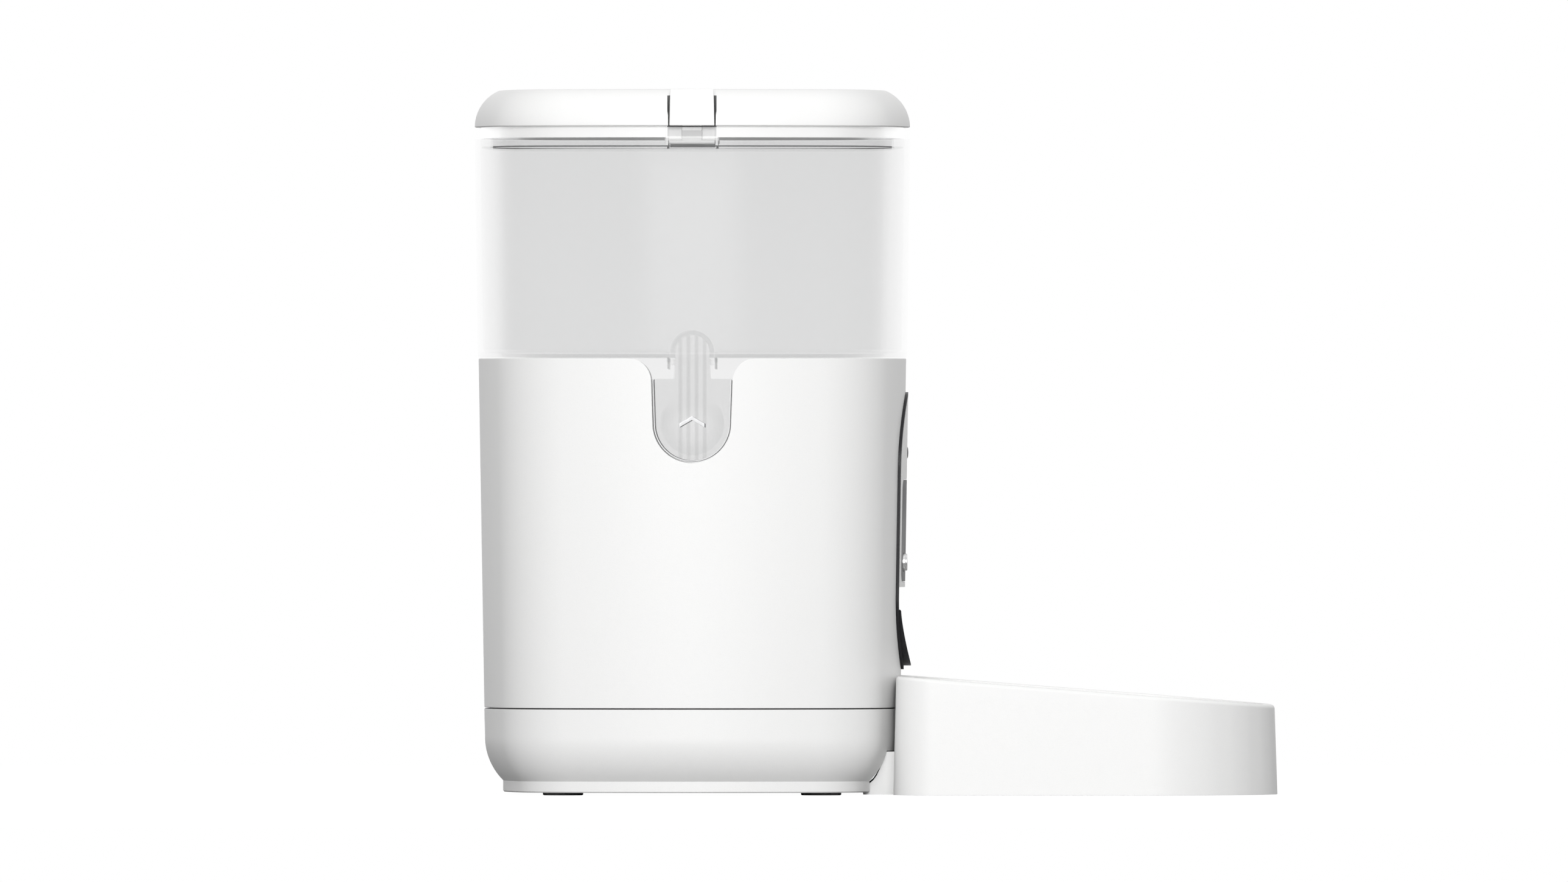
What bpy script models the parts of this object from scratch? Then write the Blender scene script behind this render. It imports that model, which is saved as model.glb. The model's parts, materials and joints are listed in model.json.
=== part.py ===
"""Free-standing smart pet feeder: base, housing, lift-off food hopper, lid, front panel, dispenser and bowl.

The feeder stands on the XY plane. Its bowl points along -Y. The origin is the middle of the whole
footprint, so the body's own upright axis stands at AXIS_Y. All sizes are in metres.
"""

import math

import bmesh
import bpy
from mathutils import Matrix, Vector

# Shared clearances and counts
SEAT_GAP = 0.0003
RUN_GAP = 0.0004
OVERRUN = 0.0010
SIDE_STEPS = 3
CORNER_STEPS = 4
ROUND_STEPS = 20
SMALL_ROUND_STEPS = 12
FILLET_STEPS = 4

# Plan of the body: a square with bowed sides and round corners
HOUSING_TOP_HALF = 0.0934
SIDE_RADIUS = 0.2000
CORNER_RADIUS = 0.0420
WALL_SLOPE_SHARE = 0.0164
HOPPER_STEP = 0.0004
HOPPER_FLARE = 0.0014
LID_STEP = 0.0001

# The hopper stands a step out from the housing, flares upwards, and the lid ends a step inside its rim
HOPPER_LOW_HALF = HOUSING_TOP_HALF + HOPPER_STEP
HOPPER_TOP_HALF = HOPPER_LOW_HALF + HOPPER_FLARE
LID_HALF = HOPPER_TOP_HALF - LID_STEP

# Heights of the stacked shells. The housing is as tall as its front panel with the room under and over it
FOOT_PROUD = 0.0012
BASE_HEIGHT = 0.0364
PARTING_GAP = 0.0004
FASCIA_RISE = 0.0164
FASCIA_HEIGHT = 0.1213
FASCIA_DROP = 0.0146
HOPPER_HEIGHT = 0.1004
LID_HEIGHT = 0.0160
SHELL_WALL = 0.0025

BASE_LOW = FOOT_PROUD
BASE_TOP = BASE_LOW + BASE_HEIGHT
HOUSING_LOW = BASE_TOP + PARTING_GAP
FASCIA_LOW = HOUSING_LOW + FASCIA_RISE
FASCIA_TOP = FASCIA_LOW + FASCIA_HEIGHT
HOUSING_TOP = FASCIA_TOP + FASCIA_DROP
HOPPER_LOW = HOUSING_TOP + SEAT_GAP
HOPPER_TOP = HOPPER_LOW + HOPPER_HEIGHT
LID_LOW = HOPPER_TOP + SEAT_GAP
LID_TOP = LID_LOW + LID_HEIGHT

# Base shell: rounded lower edge, upright plinth, lap rim, screw posts
BASE_EDGE_RADIUS = 0.0273
BASE_EDGE_SWEEP = math.radians(45)
BASE_EDGE_STEPS = 3
PLINTH_RISE = 0.0049
LAP_HEIGHT = 0.0035
LAP_WALL = 0.0014
POST_INSET = 0.0372
POST_RADIUS = 0.0045
POST_BORE_RADIUS = 0.0014
POST_BORE_DEPTH = 0.0120
FOOT_RADIUS = 0.0088
FOOT_SINK = 0.0010
FOOT_BEVEL = 0.0004

# The posts and feet keep their distance from the body's sides
POST_PLACE = HOUSING_TOP_HALF - POST_INSET

# Bowl tray and its tongue
TRAY_LENGTH = 0.1667
TRAY_TUCK = 0.0045
TRAY_HALF_WIDTH = 0.0800
TRAY_SPOUT_GAP = 0.0025
TRAY_FRONT_HEIGHT = 0.0390
TRAY_FLARE_SHARE = 0.0310
TRAY_FRONT_CORNER = 0.0500
TRAY_CORNER_STEPS = 7
TRAY_REAR_CORNER = 0.0160
TRAY_FRONT_BOW = 0.0048
TRAY_WALL = 0.0018
TRAY_RIM_WIDTH = 0.0049
TRAY_RIM_ROUND = 0.0016
TRAY_LEDGE_WIDTH = 0.0048
TRAY_LEDGE_DROP = 0.0028
TRAY_FLOOR_RISE = 0.0062
TRAY_BODY_GAP = 0.0010
TONGUE_HALF_WIDTH = 0.0440
TONGUE_HEIGHT = 0.0189
TONGUE_TUCK = 0.0188
TONGUE_LIFT = 0.0002
TONGUE_PLATE = 0.0009
RECESS_SIDE_GAP = 0.0010
RECESS_GAP = 0.0004
RECESS_WALL = 0.0020

# The tray's back tucks in over the base and ends under the spout, and its tongue reaches further in
TRAY_REAR_HEIGHT = FASCIA_LOW - TRAY_SPOUT_GAP
TRAY_REAR = HOUSING_TOP_HALF - TRAY_TUCK
TRAY_REACH = TRAY_REAR + TRAY_LENGTH
TONGUE_BACK = HOUSING_TOP_HALF - TONGUE_TUCK

# Steel food bowl
BOWL_SHEET = 0.0008
BOWL_SIDE_GAP = 0.0015
BOWL_SIDE_TAPER = 0.0045
BOWL_FLOOR_ROUND = 0.0080
BOWL_FLANGE_GAP = 0.0004
BOWL_LIP_ROUND = 0.0016

# The body stands back by half of what the tray reaches beyond it, so the footprint is centred
AXIS_Y = (TRAY_REACH - HOPPER_TOP_HALF) / 2

# Battery bay under the floor of the housing
CELL_RADIUS = 0.0168
CELL_LENGTH = 0.0615
CELL_CAP_RADIUS = 0.0045
CELL_CAP_LENGTH = 0.0012
CELL_PITCH = 0.0350
CELL_COUNT = 3
TUB_WALL = 0.0018
TUB_FLANGE = 0.0050
DOOR_THICKNESS = 0.0020
DOOR_GRIP_WIDTH = 0.0200
DOOR_GRIP_DEPTH = 0.0060
CONTACT_THICKNESS = 0.0006
CONTACT_WIDTH = 0.0120

# Power inlet and speaker at the back
JACK_WIDTH = 0.0110
JACK_DEPTH = 0.0130
JACK_RISE = 0.0265
JACK_SOCKET_RADIUS = 0.0032
JACK_SOCKET_DEPTH = 0.0090
JACK_PIN_RADIUS = 0.0010
JACK_RECESS_RADIUS = 0.0070
JACK_RECESS_DEPTH = 0.0065
JACK_RECESS_WALL = 0.0018
SPEAKER_RADIUS = 0.0180
SPEAKER_DEPTH = 0.0140
SPEAKER_RISE = 0.0400
SPEAKER_MAGNET_RADIUS = 0.0105
SPEAKER_RIM = 0.0020
GRILLE_SLOTS = 5
GRILLE_PITCH = 0.0052
GRILLE_SLOT_WIDTH = 0.0022
GRILLE_SLOT_HEIGHT = 0.0200

# Side notches of the housing and the release tabs that fill them
NOTCH_TOP_HALF = 0.0178
NOTCH_LOW_HALF = 0.0172
NOTCH_DEPTH = 0.0456
NOTCH_TOP_FILLET = 0.0100
TAB_GAP = 0.0004
TAB_THICKNESS = 0.0020
TAB_SHOULDER_DROP = 0.0089
TAB_NECK_TOP_HALF = 0.0075
TAB_NECK_LOW_HALF = 0.0080
TAB_NECK_RISE = 0.0100
TAB_PIVOT_DROP = 0.0016
TAB_PIVOT_RADIUS = 0.0012
TAB_RIB_COUNT = 4
TAB_RIB_PITCH = 0.00354
TAB_RIB_WIDTH = 0.0013
TAB_RIB_DEPTH = 0.0008
TAB_DIMPLE_RADIUS = 0.01385
TAB_DIMPLE_DROP = 0.0284
TAB_DIMPLE_DEPTH = 0.0006
TAB_CHEVRON_WIDTH = 0.0110
TAB_CHEVRON_RISE = 0.0032
TAB_CHEVRON_STROKE = 0.0014
TAB_CHEVRON_HEIGHT = 0.0003

# Hopper: clear walls, arch pockets for the tab necks, pivot ears, latch windows, funnel
HOPPER_WALL = 0.0024
POCKET_BAND = 0.00195
POCKET_DEPTH = 0.0034
POCKET_BACK = 0.0018
EAR_IN = 0.0098
EAR_WIDTH = 0.0012
EAR_DROP = 0.0049
FUNNEL_TOP_INSET = 0.0082
FUNNEL_SHARES = ((0.10, 0.12), (0.94, 1.00))
MOUTH_RADIUS = 0.0404
MOUTH_ENTRY = 0.0030
WINDOW_HALF_WIDTH = 0.0100
WINDOW_DROP = 0.0014
WINDOW_HEIGHT = 0.0031

# Lid: rounded edge, plug skirt, seal rib, latch notch, desiccant holder
LID_EDGE_RADIUS = 0.0173
LID_EDGE_STEPS = 5
LID_WALL = 0.0024
SKIRT_GAP = 0.0004
SKIRT_WALL = 0.0016
SKIRT_DROP = 0.0050
SKIRT_RISE = 0.0077
SEAL_RIB_INSET = 0.0082
SEAL_RIB_WALL = 0.0016
SEAL_RIB_DROP = 0.0078
SEAL_THICKNESS = 0.0012
SEAL_HEIGHT = 0.0045
SEAL_LIP_GAP = 0.0005
LATCH_NOTCH_TOP_HALF = 0.0106
LATCH_NOTCH_LOW_HALF = 0.0102
LATCH_NOTCH_INSET = 0.0062
LATCH_BACK_WALL = 0.0016
LATCH_EAR_WIDTH = 0.0012
LATCH_EAR_DROP = 0.0080
LATCH_TOP_HALF = 0.0094
LATCH_LOW_HALF = 0.0098
LATCH_LEG_HALF = 0.0042
LATCH_LEG_THICKNESS = 0.0016
LATCH_LEG_INSET = 0.0038
LATCH_PIVOT_DROP = 0.0070
LATCH_BAR_RADIUS = 0.0010
LATCH_HOOK_HEIGHT = 0.0024
LATCH_HOOK_DROP = 0.0044
LATCH_TOP_PROUD = 0.0001
LATCH_TOP_THICKNESS = 0.0026
LATCH_TOP_LEAN = 0.0016
HOLDER_RADIUS = 0.0300
HOLDER_DEPTH = 0.0120
HOLDER_WALL = 0.0016
HOLDER_TAB_HEIGHT = 0.0018
HOLDER_SLOTS = 6
HOLDER_SLOT_LENGTH = 0.0130
HOLDER_SLOT_WIDTH = 0.0030
HOLDER_GRIP_WIDTH = 0.0040
HOLDER_GRIP_HEIGHT = 0.0050
HOLDER_GRIP_LENGTH = 0.0280

# Front panel
FASCIA_HALF_WIDTH = 0.0340
BEZEL_RIM = 0.0015
BEZEL_PROUD = 0.0003
BEZEL_DEPTH = 0.0060
BEZEL_POCKET = 0.0047
PLATE_PROUD = 0.0005
PLATE_THICKNESS = 0.0023
PLATE_RISE = 0.0362
SCREEN_HALF_WIDTH = 0.0270
SCREEN_HEIGHT = 0.0450
SCREEN_RISE = 0.0021
SCREEN_CORNER = 0.0050
SCREEN_PROUD = 0.0004
SCREEN_THICKNESS = 0.0022
LENS_RISE = 0.0116
LENS_RADIUS = 0.0025
LENS_PROUD = 0.0005
LENS_DEPTH = 0.0020
BUTTON_RADIUS = 0.0037
BUTTON_PITCH = 0.0184
BUTTON_RISE = 0.0087
BUTTON_PROUD = 0.0008
BUTTON_TRAVEL = 0.0008
BUTTON_FLANGE = 0.0011
BUTTON_FLANGE_THICKNESS = 0.0006
BUTTON_STEM_RADIUS = 0.0015
BOARD_HALF_WIDTH = 0.0280
BOARD_DEPTH = 0.0130
BOARD_THICKNESS = 0.0016
BOARD_SIDE_ROOM = 0.0060
BOARD_LOW_RISE = 0.0045
BOARD_POST_RADIUS = 0.0024
SWITCH_WIDTH = 0.0060
SWITCH_DEPTH = 0.0020
DISPLAY_HALF_WIDTH = 0.0200
DISPLAY_HEIGHT = 0.0200
DISPLAY_DEPTH = 0.0080

# Outlet spout and chute
SPOUT_WALL = 0.0020
SPOUT_REACH = 0.0045
SPOUT_WEDGE_HEIGHT = 0.0240
SPOUT_CURVE_SHARE = 1.4
SPOUT_STEPS = 6
SPOUT_BACK = 0.0098
CHUTE_WALL = 0.0018
CHUTE_CEILING_DROP = 0.0024
CHUTE_SLEEVE = 0.0060
CHUTE_COLLAR = 0.0040
CHUTE_STEPS = 20
CHUTE_SQUARE_SHARE = 0.4

# Dispenser: chassis with its well, paddle rotor, shaft, gearbox and motor
DECK_INSET = 0.0194
DECK_RISE = 0.1010
CHASSIS_WALL = 0.0024
WELL_RADIUS = 0.0420
WELL_DEPTH = 0.0250
OUTLET_NEAR = 0.0145
OUTLET_FAR = 0.0380
OUTLET_HALF_WIDTH = 0.0165
ROTOR_GAP = 0.0006
ROTOR_HEIGHT = 0.0180
HUB_RADIUS = 0.0095
HUB_CAP = 0.0060
PADDLE_COUNT = 6
PADDLE_THICKNESS = 0.0024
SHAFT_RADIUS = 0.0040
SHAFT_BORE_GAP = 0.0003
SHAFT_ENTRY = 0.0080
SHAFT_GRIP = 0.0140
GEARBOX_HALF_WIDTH = 0.0150
GEARBOX_FRONT = 0.0085
GEARBOX_BACK = 0.0360
GEARBOX_HEIGHT = 0.0210
GEARBOX_CORNER = 0.0060
MOTOR_RADIUS = 0.0122
MOTOR_LENGTH = 0.0308
MOTOR_BACK = 0.0200
MOTOR_END_RADIUS = 0.0045
MOTOR_END = 0.0025
MOTOR_EDGE = 0.0012

# Derived levels and places of the inner pieces
FASCIA_LOW_CENTRE = FASCIA_LOW + FASCIA_HALF_WIDTH
PLATE_LOW = FASCIA_LOW + PLATE_RISE
SCREEN_LOW = PLATE_LOW + SCREEN_RISE
BUTTON_Z = SCREEN_LOW + BUTTON_RISE
DECK_HALF = HOUSING_TOP_HALF - DECK_INSET
DECK_TOP = HOUSING_LOW + DECK_RISE
WELL_FLOOR = DECK_TOP - WELL_DEPTH
GEARBOX_TOP = WELL_FLOOR - CHASSIS_WALL - SEAT_GAP
FLOOR_TOP = BASE_LOW + SHELL_WALL

COLOURS = {
    "white": ((0.83, 0.83, 0.82, 1.0), 0.45, 0.0),
    "clear": ((0.74, 0.75, 0.76, 0.55), 0.25, 0.0),
    "black": ((0.018, 0.018, 0.02, 1.0), 0.35, 0.0),
    "smoke": ((0.17, 0.17, 0.175, 1.0), 0.15, 0.0),
    "steel": ((0.62, 0.62, 0.61, 1.0), 0.28, 1.0),
    "silver": ((0.70, 0.70, 0.70, 1.0), 0.30, 0.8),
    "rubber": ((0.05, 0.05, 0.05, 1.0), 0.85, 0.0),
    "silicone": ((0.72, 0.72, 0.70, 0.8), 0.60, 0.0),
    "board": ((0.02, 0.16, 0.08, 1.0), 0.50, 0.0),
    "grey": ((0.30, 0.30, 0.31, 1.0), 0.55, 0.0),
}


def clear_scene():
    """Remove whatever the file holds and make the two collections."""
    for old in list(bpy.data.objects):
        bpy.data.objects.remove(old, do_unlink=True)
    made = {}
    for name in ("pet_feeder", "cutters"):
        made[name] = bpy.data.collections.new(name)
        bpy.context.scene.collection.children.link(made[name])
    return made["pet_feeder"], made["cutters"]


PARTS, CUTTERS = clear_scene()


def add_object(name, mesh):
    """Put a mesh in the scene as a plain object among the cutters until it is finished."""
    made = bpy.data.objects.new(name, mesh)
    CUTTERS.objects.link(made)
    made.hide_render = True
    made.display_type = "WIRE"
    return made


def finish(piece, colour, pivot=None, smooth=math.radians(35)):
    """Give a piece its material and smooth shading, set its origin, and file it with the parts."""
    paint, roughness, metallic = COLOURS[colour]
    material = bpy.data.materials.new(piece.name)
    material.use_nodes = True
    shader = material.node_tree.nodes["Principled BSDF"]
    shader.inputs["Base Color"].default_value = paint
    shader.inputs["Alpha"].default_value = paint[3]
    shader.inputs["Roughness"].default_value = roughness
    shader.inputs["Metallic"].default_value = metallic
    piece.data.materials.clear()
    piece.data.materials.append(material)
    piece.data.shade_smooth()
    piece.data.set_sharp_from_angle(angle=smooth)
    if pivot is not None:
        place = Vector(pivot)
        piece.data.transform(Matrix.Translation(-place))
        piece.location = place
    CUTTERS.objects.unlink(piece)
    PARTS.objects.link(piece)
    piece.hide_render = False
    piece.display_type = "TEXTURED"
    return piece


def bake(piece):
    """Apply the modifiers, so that a later step works on the finished faces."""
    bpy.context.view_layer.update()
    graph = bpy.context.evaluated_depsgraph_get()
    mesh = bpy.data.meshes.new_from_object(piece.evaluated_get(graph))
    mesh.transform(piece.matrix_world)
    piece.modifiers.clear()
    piece.data = mesh
    piece.matrix_world = Matrix.Identity(4)
    return piece


def combine(piece, tool, operation):
    """Add a Boolean modifier that cuts with, joins or keeps what lies in the tool."""
    boolean = piece.modifiers.new(operation.lower(), "BOOLEAN")
    boolean.operation = operation
    boolean.solver = "EXACT"
    boolean.object = tool
    return piece


def cut(piece, *tools):
    for tool in tools:
        combine(piece, tool, "DIFFERENCE")
    return piece


def join(piece, *tools):
    for tool in tools:
        combine(piece, tool, "UNION")
    return piece


def thicken(piece, wall):
    """Turn an open skin into a wall that grows inwards from it."""
    solidify = piece.modifiers.new("wall", "SOLIDIFY")
    solidify.thickness = wall
    solidify.offset = -1
    solidify.use_even_offset = True
    return piece


def arc(centre, radius, start, end, steps):
    """Points on an arc, both ends included."""
    turns = [start + (end - start) * step / steps for step in range(steps + 1)]
    return [(centre[0] + radius * math.cos(turn), centre[1] + radius * math.sin(turn)) for turn in turns]


def circle(centre, radius, steps=ROUND_STEPS):
    return arc(centre, radius, 0, 2 * math.pi, steps)[:-1]


def filleted(corners, radii, steps=FILLET_STEPS):
    """Outline through the corners, each one rounded by its own radius (zero keeps it sharp)."""
    points = []
    for place, radius in enumerate(radii):
        here = Vector(corners[place])
        back = (Vector(corners[place - 1]) - here).normalized()
        ahead = (Vector(corners[(place + 1) % len(corners)]) - here).normalized()
        if not radius:
            points.append(tuple(here))
            continue
        half_angle = back.angle(ahead) / 2
        centre = here + (back + ahead).normalized() * radius / math.sin(half_angle)
        reach = radius / math.tan(half_angle)
        first = here + back * reach - centre
        last = here + ahead * reach - centre
        sweep = first.angle_signed(last)
        for step in range(steps + 1):
            turned = first.copy()
            turned.rotate(Matrix.Rotation(-sweep * step / steps, 2))
            points.append(tuple(centre + turned))
    return points


def box_outline(low, high, radius=0.0, steps=FILLET_STEPS):
    corners = [(low[0], low[1]), (high[0], low[1]), (high[0], high[1]), (low[0], high[1])]
    return filleted(corners, [radius] * 4, steps)


def capsule_outline(half_width, low, high, steps=ROUND_STEPS // 2):
    """Upright outline with two half-round ends."""
    top = arc((0, high - half_width), half_width, 0, math.pi, steps)
    foot = arc((0, low + half_width), half_width, math.pi, 2 * math.pi, steps)
    return top + foot


def offset_outline(points, inset):
    """Outline drawn inwards by an equal distance all round; the points run counter-clockwise."""
    moved = []
    for place in range(len(points)):
        before = Vector(points[place]) - Vector(points[place - 1])
        after = Vector(points[(place + 1) % len(points)]) - Vector(points[place])
        first = Vector((-before.y, before.x)).normalized()
        second = Vector((-after.y, after.x)).normalized()
        moved.append(tuple(Vector(points[place]) + (first + second) * inset / (1 + first.dot(second))))
    return moved


def plan_corner_centre():
    """Distance from the body's axis to the centres of the corner arcs, along X and along Y."""
    bow = SIDE_RADIUS - HOUSING_TOP_HALF
    reach = SIDE_RADIUS - CORNER_RADIUS
    return (math.sqrt(2 * reach ** 2 - bow ** 2) - bow) / 2


def plan_outline(half):
    """Outline of the body's plan about its own axis, drawn in or out in parallel to the half-width."""
    inset = HOUSING_TOP_HALF - half
    bow = SIDE_RADIUS - HOUSING_TOP_HALF
    corner = plan_corner_centre()
    tangent = math.atan2(corner, corner + bow)
    points = []
    for quarter in range(4):
        side = arc((-bow, 0), SIDE_RADIUS - inset, 0, tangent, SIDE_STEPS)[:-1]
        bend = arc((corner, corner), CORNER_RADIUS - inset, tangent, math.pi / 2 - tangent, CORNER_STEPS)
        far = arc((0, -bow), SIDE_RADIUS - inset, math.pi / 2 - tangent, math.pi / 2, SIDE_STEPS)[1:-1]
        turned = Matrix.Rotation(quarter * math.pi / 2, 2)
        points += [tuple(turned @ Vector(point)) for point in side + bend + far]
    return points


def round_outline(radius):
    """Circle with its points at the same bearings as the plan's points."""
    bearings = [math.atan2(y, x) for x, y in plan_outline(HOUSING_TOP_HALF)]
    return [(radius * math.cos(bearing), radius * math.sin(bearing)) for bearing in bearings]


def blend_outlines(first, second, share):
    """Outline that lies between two outlines of as many points."""
    return [tuple(Vector(a).lerp(Vector(b), share)) for a, b in zip(first, second)]


def ring(outline, z):
    """An outline about the body's axis, lifted to its level."""
    return [Vector((x, y + AXIS_Y, z)) for x, y in outline]


def loft(name, rings, closed=False, cap_first=False, cap_last=False):
    """Skin through rings of as many points, which run counter-clockwise from above and go up outside."""
    bm = bmesh.new()
    rows = [[bm.verts.new(point) for point in points] for points in rings]
    count = len(rows[0])
    pairs = list(zip(rows, rows[1:]))
    if closed:
        pairs.append((rows[-1], rows[0]))
    for low, high in pairs:
        for place in range(count):
            ahead = (place + 1) % count
            bm.faces.new((low[place], low[ahead], high[ahead], high[place]))
    if cap_first:
        bm.faces.new(tuple(reversed(rows[0])))
    if cap_last:
        bm.faces.new(tuple(rows[-1]))
    mesh = bpy.data.meshes.new(name)
    bm.to_mesh(mesh)
    bm.free()
    return add_object(name, mesh)


def plan_ring(name, section):
    """Closed ring that follows the plan; its section runs up outside and down inside as (half, z)."""
    return loft(name, [ring(plan_outline(half), z) for half, z in section], closed=True)


def wall_half(z):
    """Half-width of the body's outside at a level, from the floor to the foot of the hopper."""
    return HOUSING_TOP_HALF - (HOUSING_TOP - z) * WALL_SLOPE_SHARE


def hopper_half(z):
    """Half-width of the hopper's outside at a level."""
    share = (z - HOPPER_LOW) / HOPPER_HEIGHT
    return HOPPER_LOW_HALF + (HOPPER_TOP_HALF - HOPPER_LOW_HALF) * share


def side_fall(across):
    """How far a bowed side has fallen back at a distance from its middle."""
    return SIDE_RADIUS - math.sqrt(SIDE_RADIUS ** 2 - across ** 2)


def front_y(x, z, depth):
    """World Y of a point that lies a depth behind the front of the housing."""
    return AXIS_Y - wall_half(z) + side_fall(x) + depth


def flat_piece(name, loops, low, high, plane="XY"):
    """Solid between two levels from flat outlines; the inner ones are holes.

    In plane XZ the outline stands upright, and the levels run along Y; in plane YZ they run along X.
    """
    curve = bpy.data.curves.new(name, "CURVE")
    curve.dimensions = "2D"
    curve.fill_mode = "BOTH"
    curve.extrude = (high - low) / 2
    for points in loops:
        spline = curve.splines.new("POLY")
        spline.points.add(len(points) - 1)
        for slot, point in zip(spline.points, points):
            slot.co = (point[0], point[1], 0, 1)
        spline.use_cyclic_u = True
    flat = bpy.data.objects.new(name, curve)
    CUTTERS.objects.link(flat)
    middle = (low + high) / 2
    if plane == "XY":
        flat.matrix_world = Matrix.Translation((0, 0, middle))
    elif plane == "XZ":
        flat.matrix_world = Matrix.Translation((0, middle, 0)) @ Matrix.Rotation(math.pi / 2, 4, "X")
    else:
        turned = Matrix(((0, 0, 1, middle), (1, 0, 0, 0), (0, 1, 0, 0), (0, 0, 0, 1)))
        flat.matrix_world = turned
    bpy.context.view_layer.update()
    graph = bpy.context.evaluated_depsgraph_get()
    mesh = bpy.data.meshes.new_from_object(flat.evaluated_get(graph))
    mesh.transform(flat.matrix_world)
    bpy.data.objects.remove(flat, do_unlink=True)
    bm = bmesh.new()
    bm.from_mesh(mesh)
    bmesh.ops.remove_doubles(bm, verts=bm.verts, dist=SEAT_GAP / 100)
    bmesh.ops.dissolve_limit(bm, angle_limit=math.radians(1), verts=bm.verts, edges=bm.edges)
    bmesh.ops.recalc_face_normals(bm, faces=bm.faces)
    bm.to_mesh(mesh)
    bm.free()
    return add_object(name, mesh)


def block(name, low, high):
    """Box between two corners."""
    size = Vector(high) - Vector(low)
    bm = bmesh.new()
    bmesh.ops.create_cube(bm, size=1)
    bmesh.ops.scale(bm, verts=bm.verts, vec=size)
    bmesh.ops.translate(bm, verts=bm.verts, vec=(Vector(low) + Vector(high)) / 2)
    mesh = bpy.data.meshes.new(name)
    bm.to_mesh(mesh)
    bm.free()
    return add_object(name, mesh)


def rod(name, start, end, radius, end_radius=None, steps=SMALL_ROUND_STEPS):
    """Round bar or cone between two points."""
    run = Vector(end) - Vector(start)
    bm = bmesh.new()
    bmesh.ops.create_cone(
        bm, cap_ends=True, segments=steps, radius1=radius,
        radius2=radius if end_radius is None else end_radius, depth=run.length,
    )
    aim = run.to_track_quat("Z", "Y").to_matrix().to_4x4()
    middle = (Vector(start) + Vector(end)) / 2
    bmesh.ops.transform(bm, matrix=Matrix.Translation(middle) @ aim, verts=bm.verts)
    mesh = bpy.data.meshes.new(name)
    bm.to_mesh(mesh)
    bm.free()
    return add_object(name, mesh)


def lathe(name, profile, base, direction=(0, 0, 1), steps=ROUND_STEPS):
    """Turned piece: a profile of (radius, height) run down its outer side, screwed about the Z axis."""
    mesh = bpy.data.meshes.new(name)
    points = [(radius, 0, height) for radius, height in profile]
    mesh.from_pydata(points, [(place, place + 1) for place in range(len(points) - 1)], [])
    piece = add_object(name, mesh)
    screw = piece.modifiers.new("turn", "SCREW")
    screw.axis = "Z"
    screw.angle = 2 * math.pi
    screw.steps = steps
    screw.render_steps = steps
    screw.use_merge_vertices = True
    screw.merge_threshold = SEAT_GAP / 100
    bake(piece)
    aim = Vector(direction).to_track_quat("Z", "Y").to_matrix().to_4x4()
    piece.data.transform(Matrix.Translation(Vector(base)) @ aim)
    return piece


def lay_on_wall(piece, heading, strip=None):
    """Bend a flat upright piece onto a bowed side of the housing.

    The piece is drawn with X across, Z up and Y as its depth behind the wall's face. The heading turns
    it about the body's axis: 0 is the front, 90 the +X side, 180 the back and 270 the -X side.
    """
    bake(piece)
    bm = bmesh.new()
    bm.from_mesh(piece.data)
    if strip:
        reach = max(abs(vert.co.x) for vert in bm.verts)
        count = int(reach / strip)
        for step in range(-count, count + 1):
            everything = list(bm.verts) + list(bm.edges) + list(bm.faces)
            bmesh.ops.bisect_plane(
                bm, geom=everything, dist=SEAT_GAP / 100, plane_co=(step * strip, 0, 0), plane_no=(1, 0, 0),
            )
    turn = Matrix.Rotation(math.radians(heading), 3, "Z")
    for vert in bm.verts:
        across, depth, z = vert.co
        flat = Vector((across, depth - wall_half(z) + side_fall(across), z))
        vert.co = turn @ flat + Vector((0, AXIS_Y, 0))
    bm.to_mesh(piece.data)
    bm.free()
    return piece


def turn_about_axis(piece, heading):
    """Turn a piece that was drawn at the front, about an axis at the origin, to its own side."""
    bake(piece)
    turn = Matrix.Rotation(math.radians(heading), 4, "Z")
    piece.data.transform(Matrix.Translation((0, AXIS_Y, 0)) @ turn)
    return piece


def about_axis(x, y, z):
    """World place of a point given about the body's axis."""
    return (x, y + AXIS_Y, z)


# Base shell


def base_levels(inset):
    """Half-widths and levels of the base from its plinth to its top edge, drawn in by an even inset."""
    edge_top = BASE_LOW + PLINTH_RISE + BASE_EDGE_RADIUS * math.sin(BASE_EDGE_SWEEP)
    centre = wall_half(edge_top) - BASE_EDGE_RADIUS
    rounds = []
    for step in range(BASE_EDGE_STEPS + 1):
        turn = BASE_EDGE_SWEEP * (BASE_EDGE_STEPS - step) / BASE_EDGE_STEPS
        reach = BASE_EDGE_RADIUS - inset
        rounds.append((centre + reach * math.cos(turn), edge_top - reach * math.sin(turn)))
    return [(rounds[0][0], BASE_LOW + inset)] + rounds + [(wall_half(BASE_TOP) - inset, BASE_TOP)]


def bay_half_width():
    return (CELL_COUNT - 1) / 2 * CELL_PITCH + CELL_RADIUS + SEAT_GAP


def bay_half_length():
    return CELL_LENGTH / 2 + CONTACT_THICKNESS + 2 * SEAT_GAP


def post_places():
    return [(x, y) for x in (-POST_PLACE, POST_PLACE) for y in (-POST_PLACE, POST_PLACE)]


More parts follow.
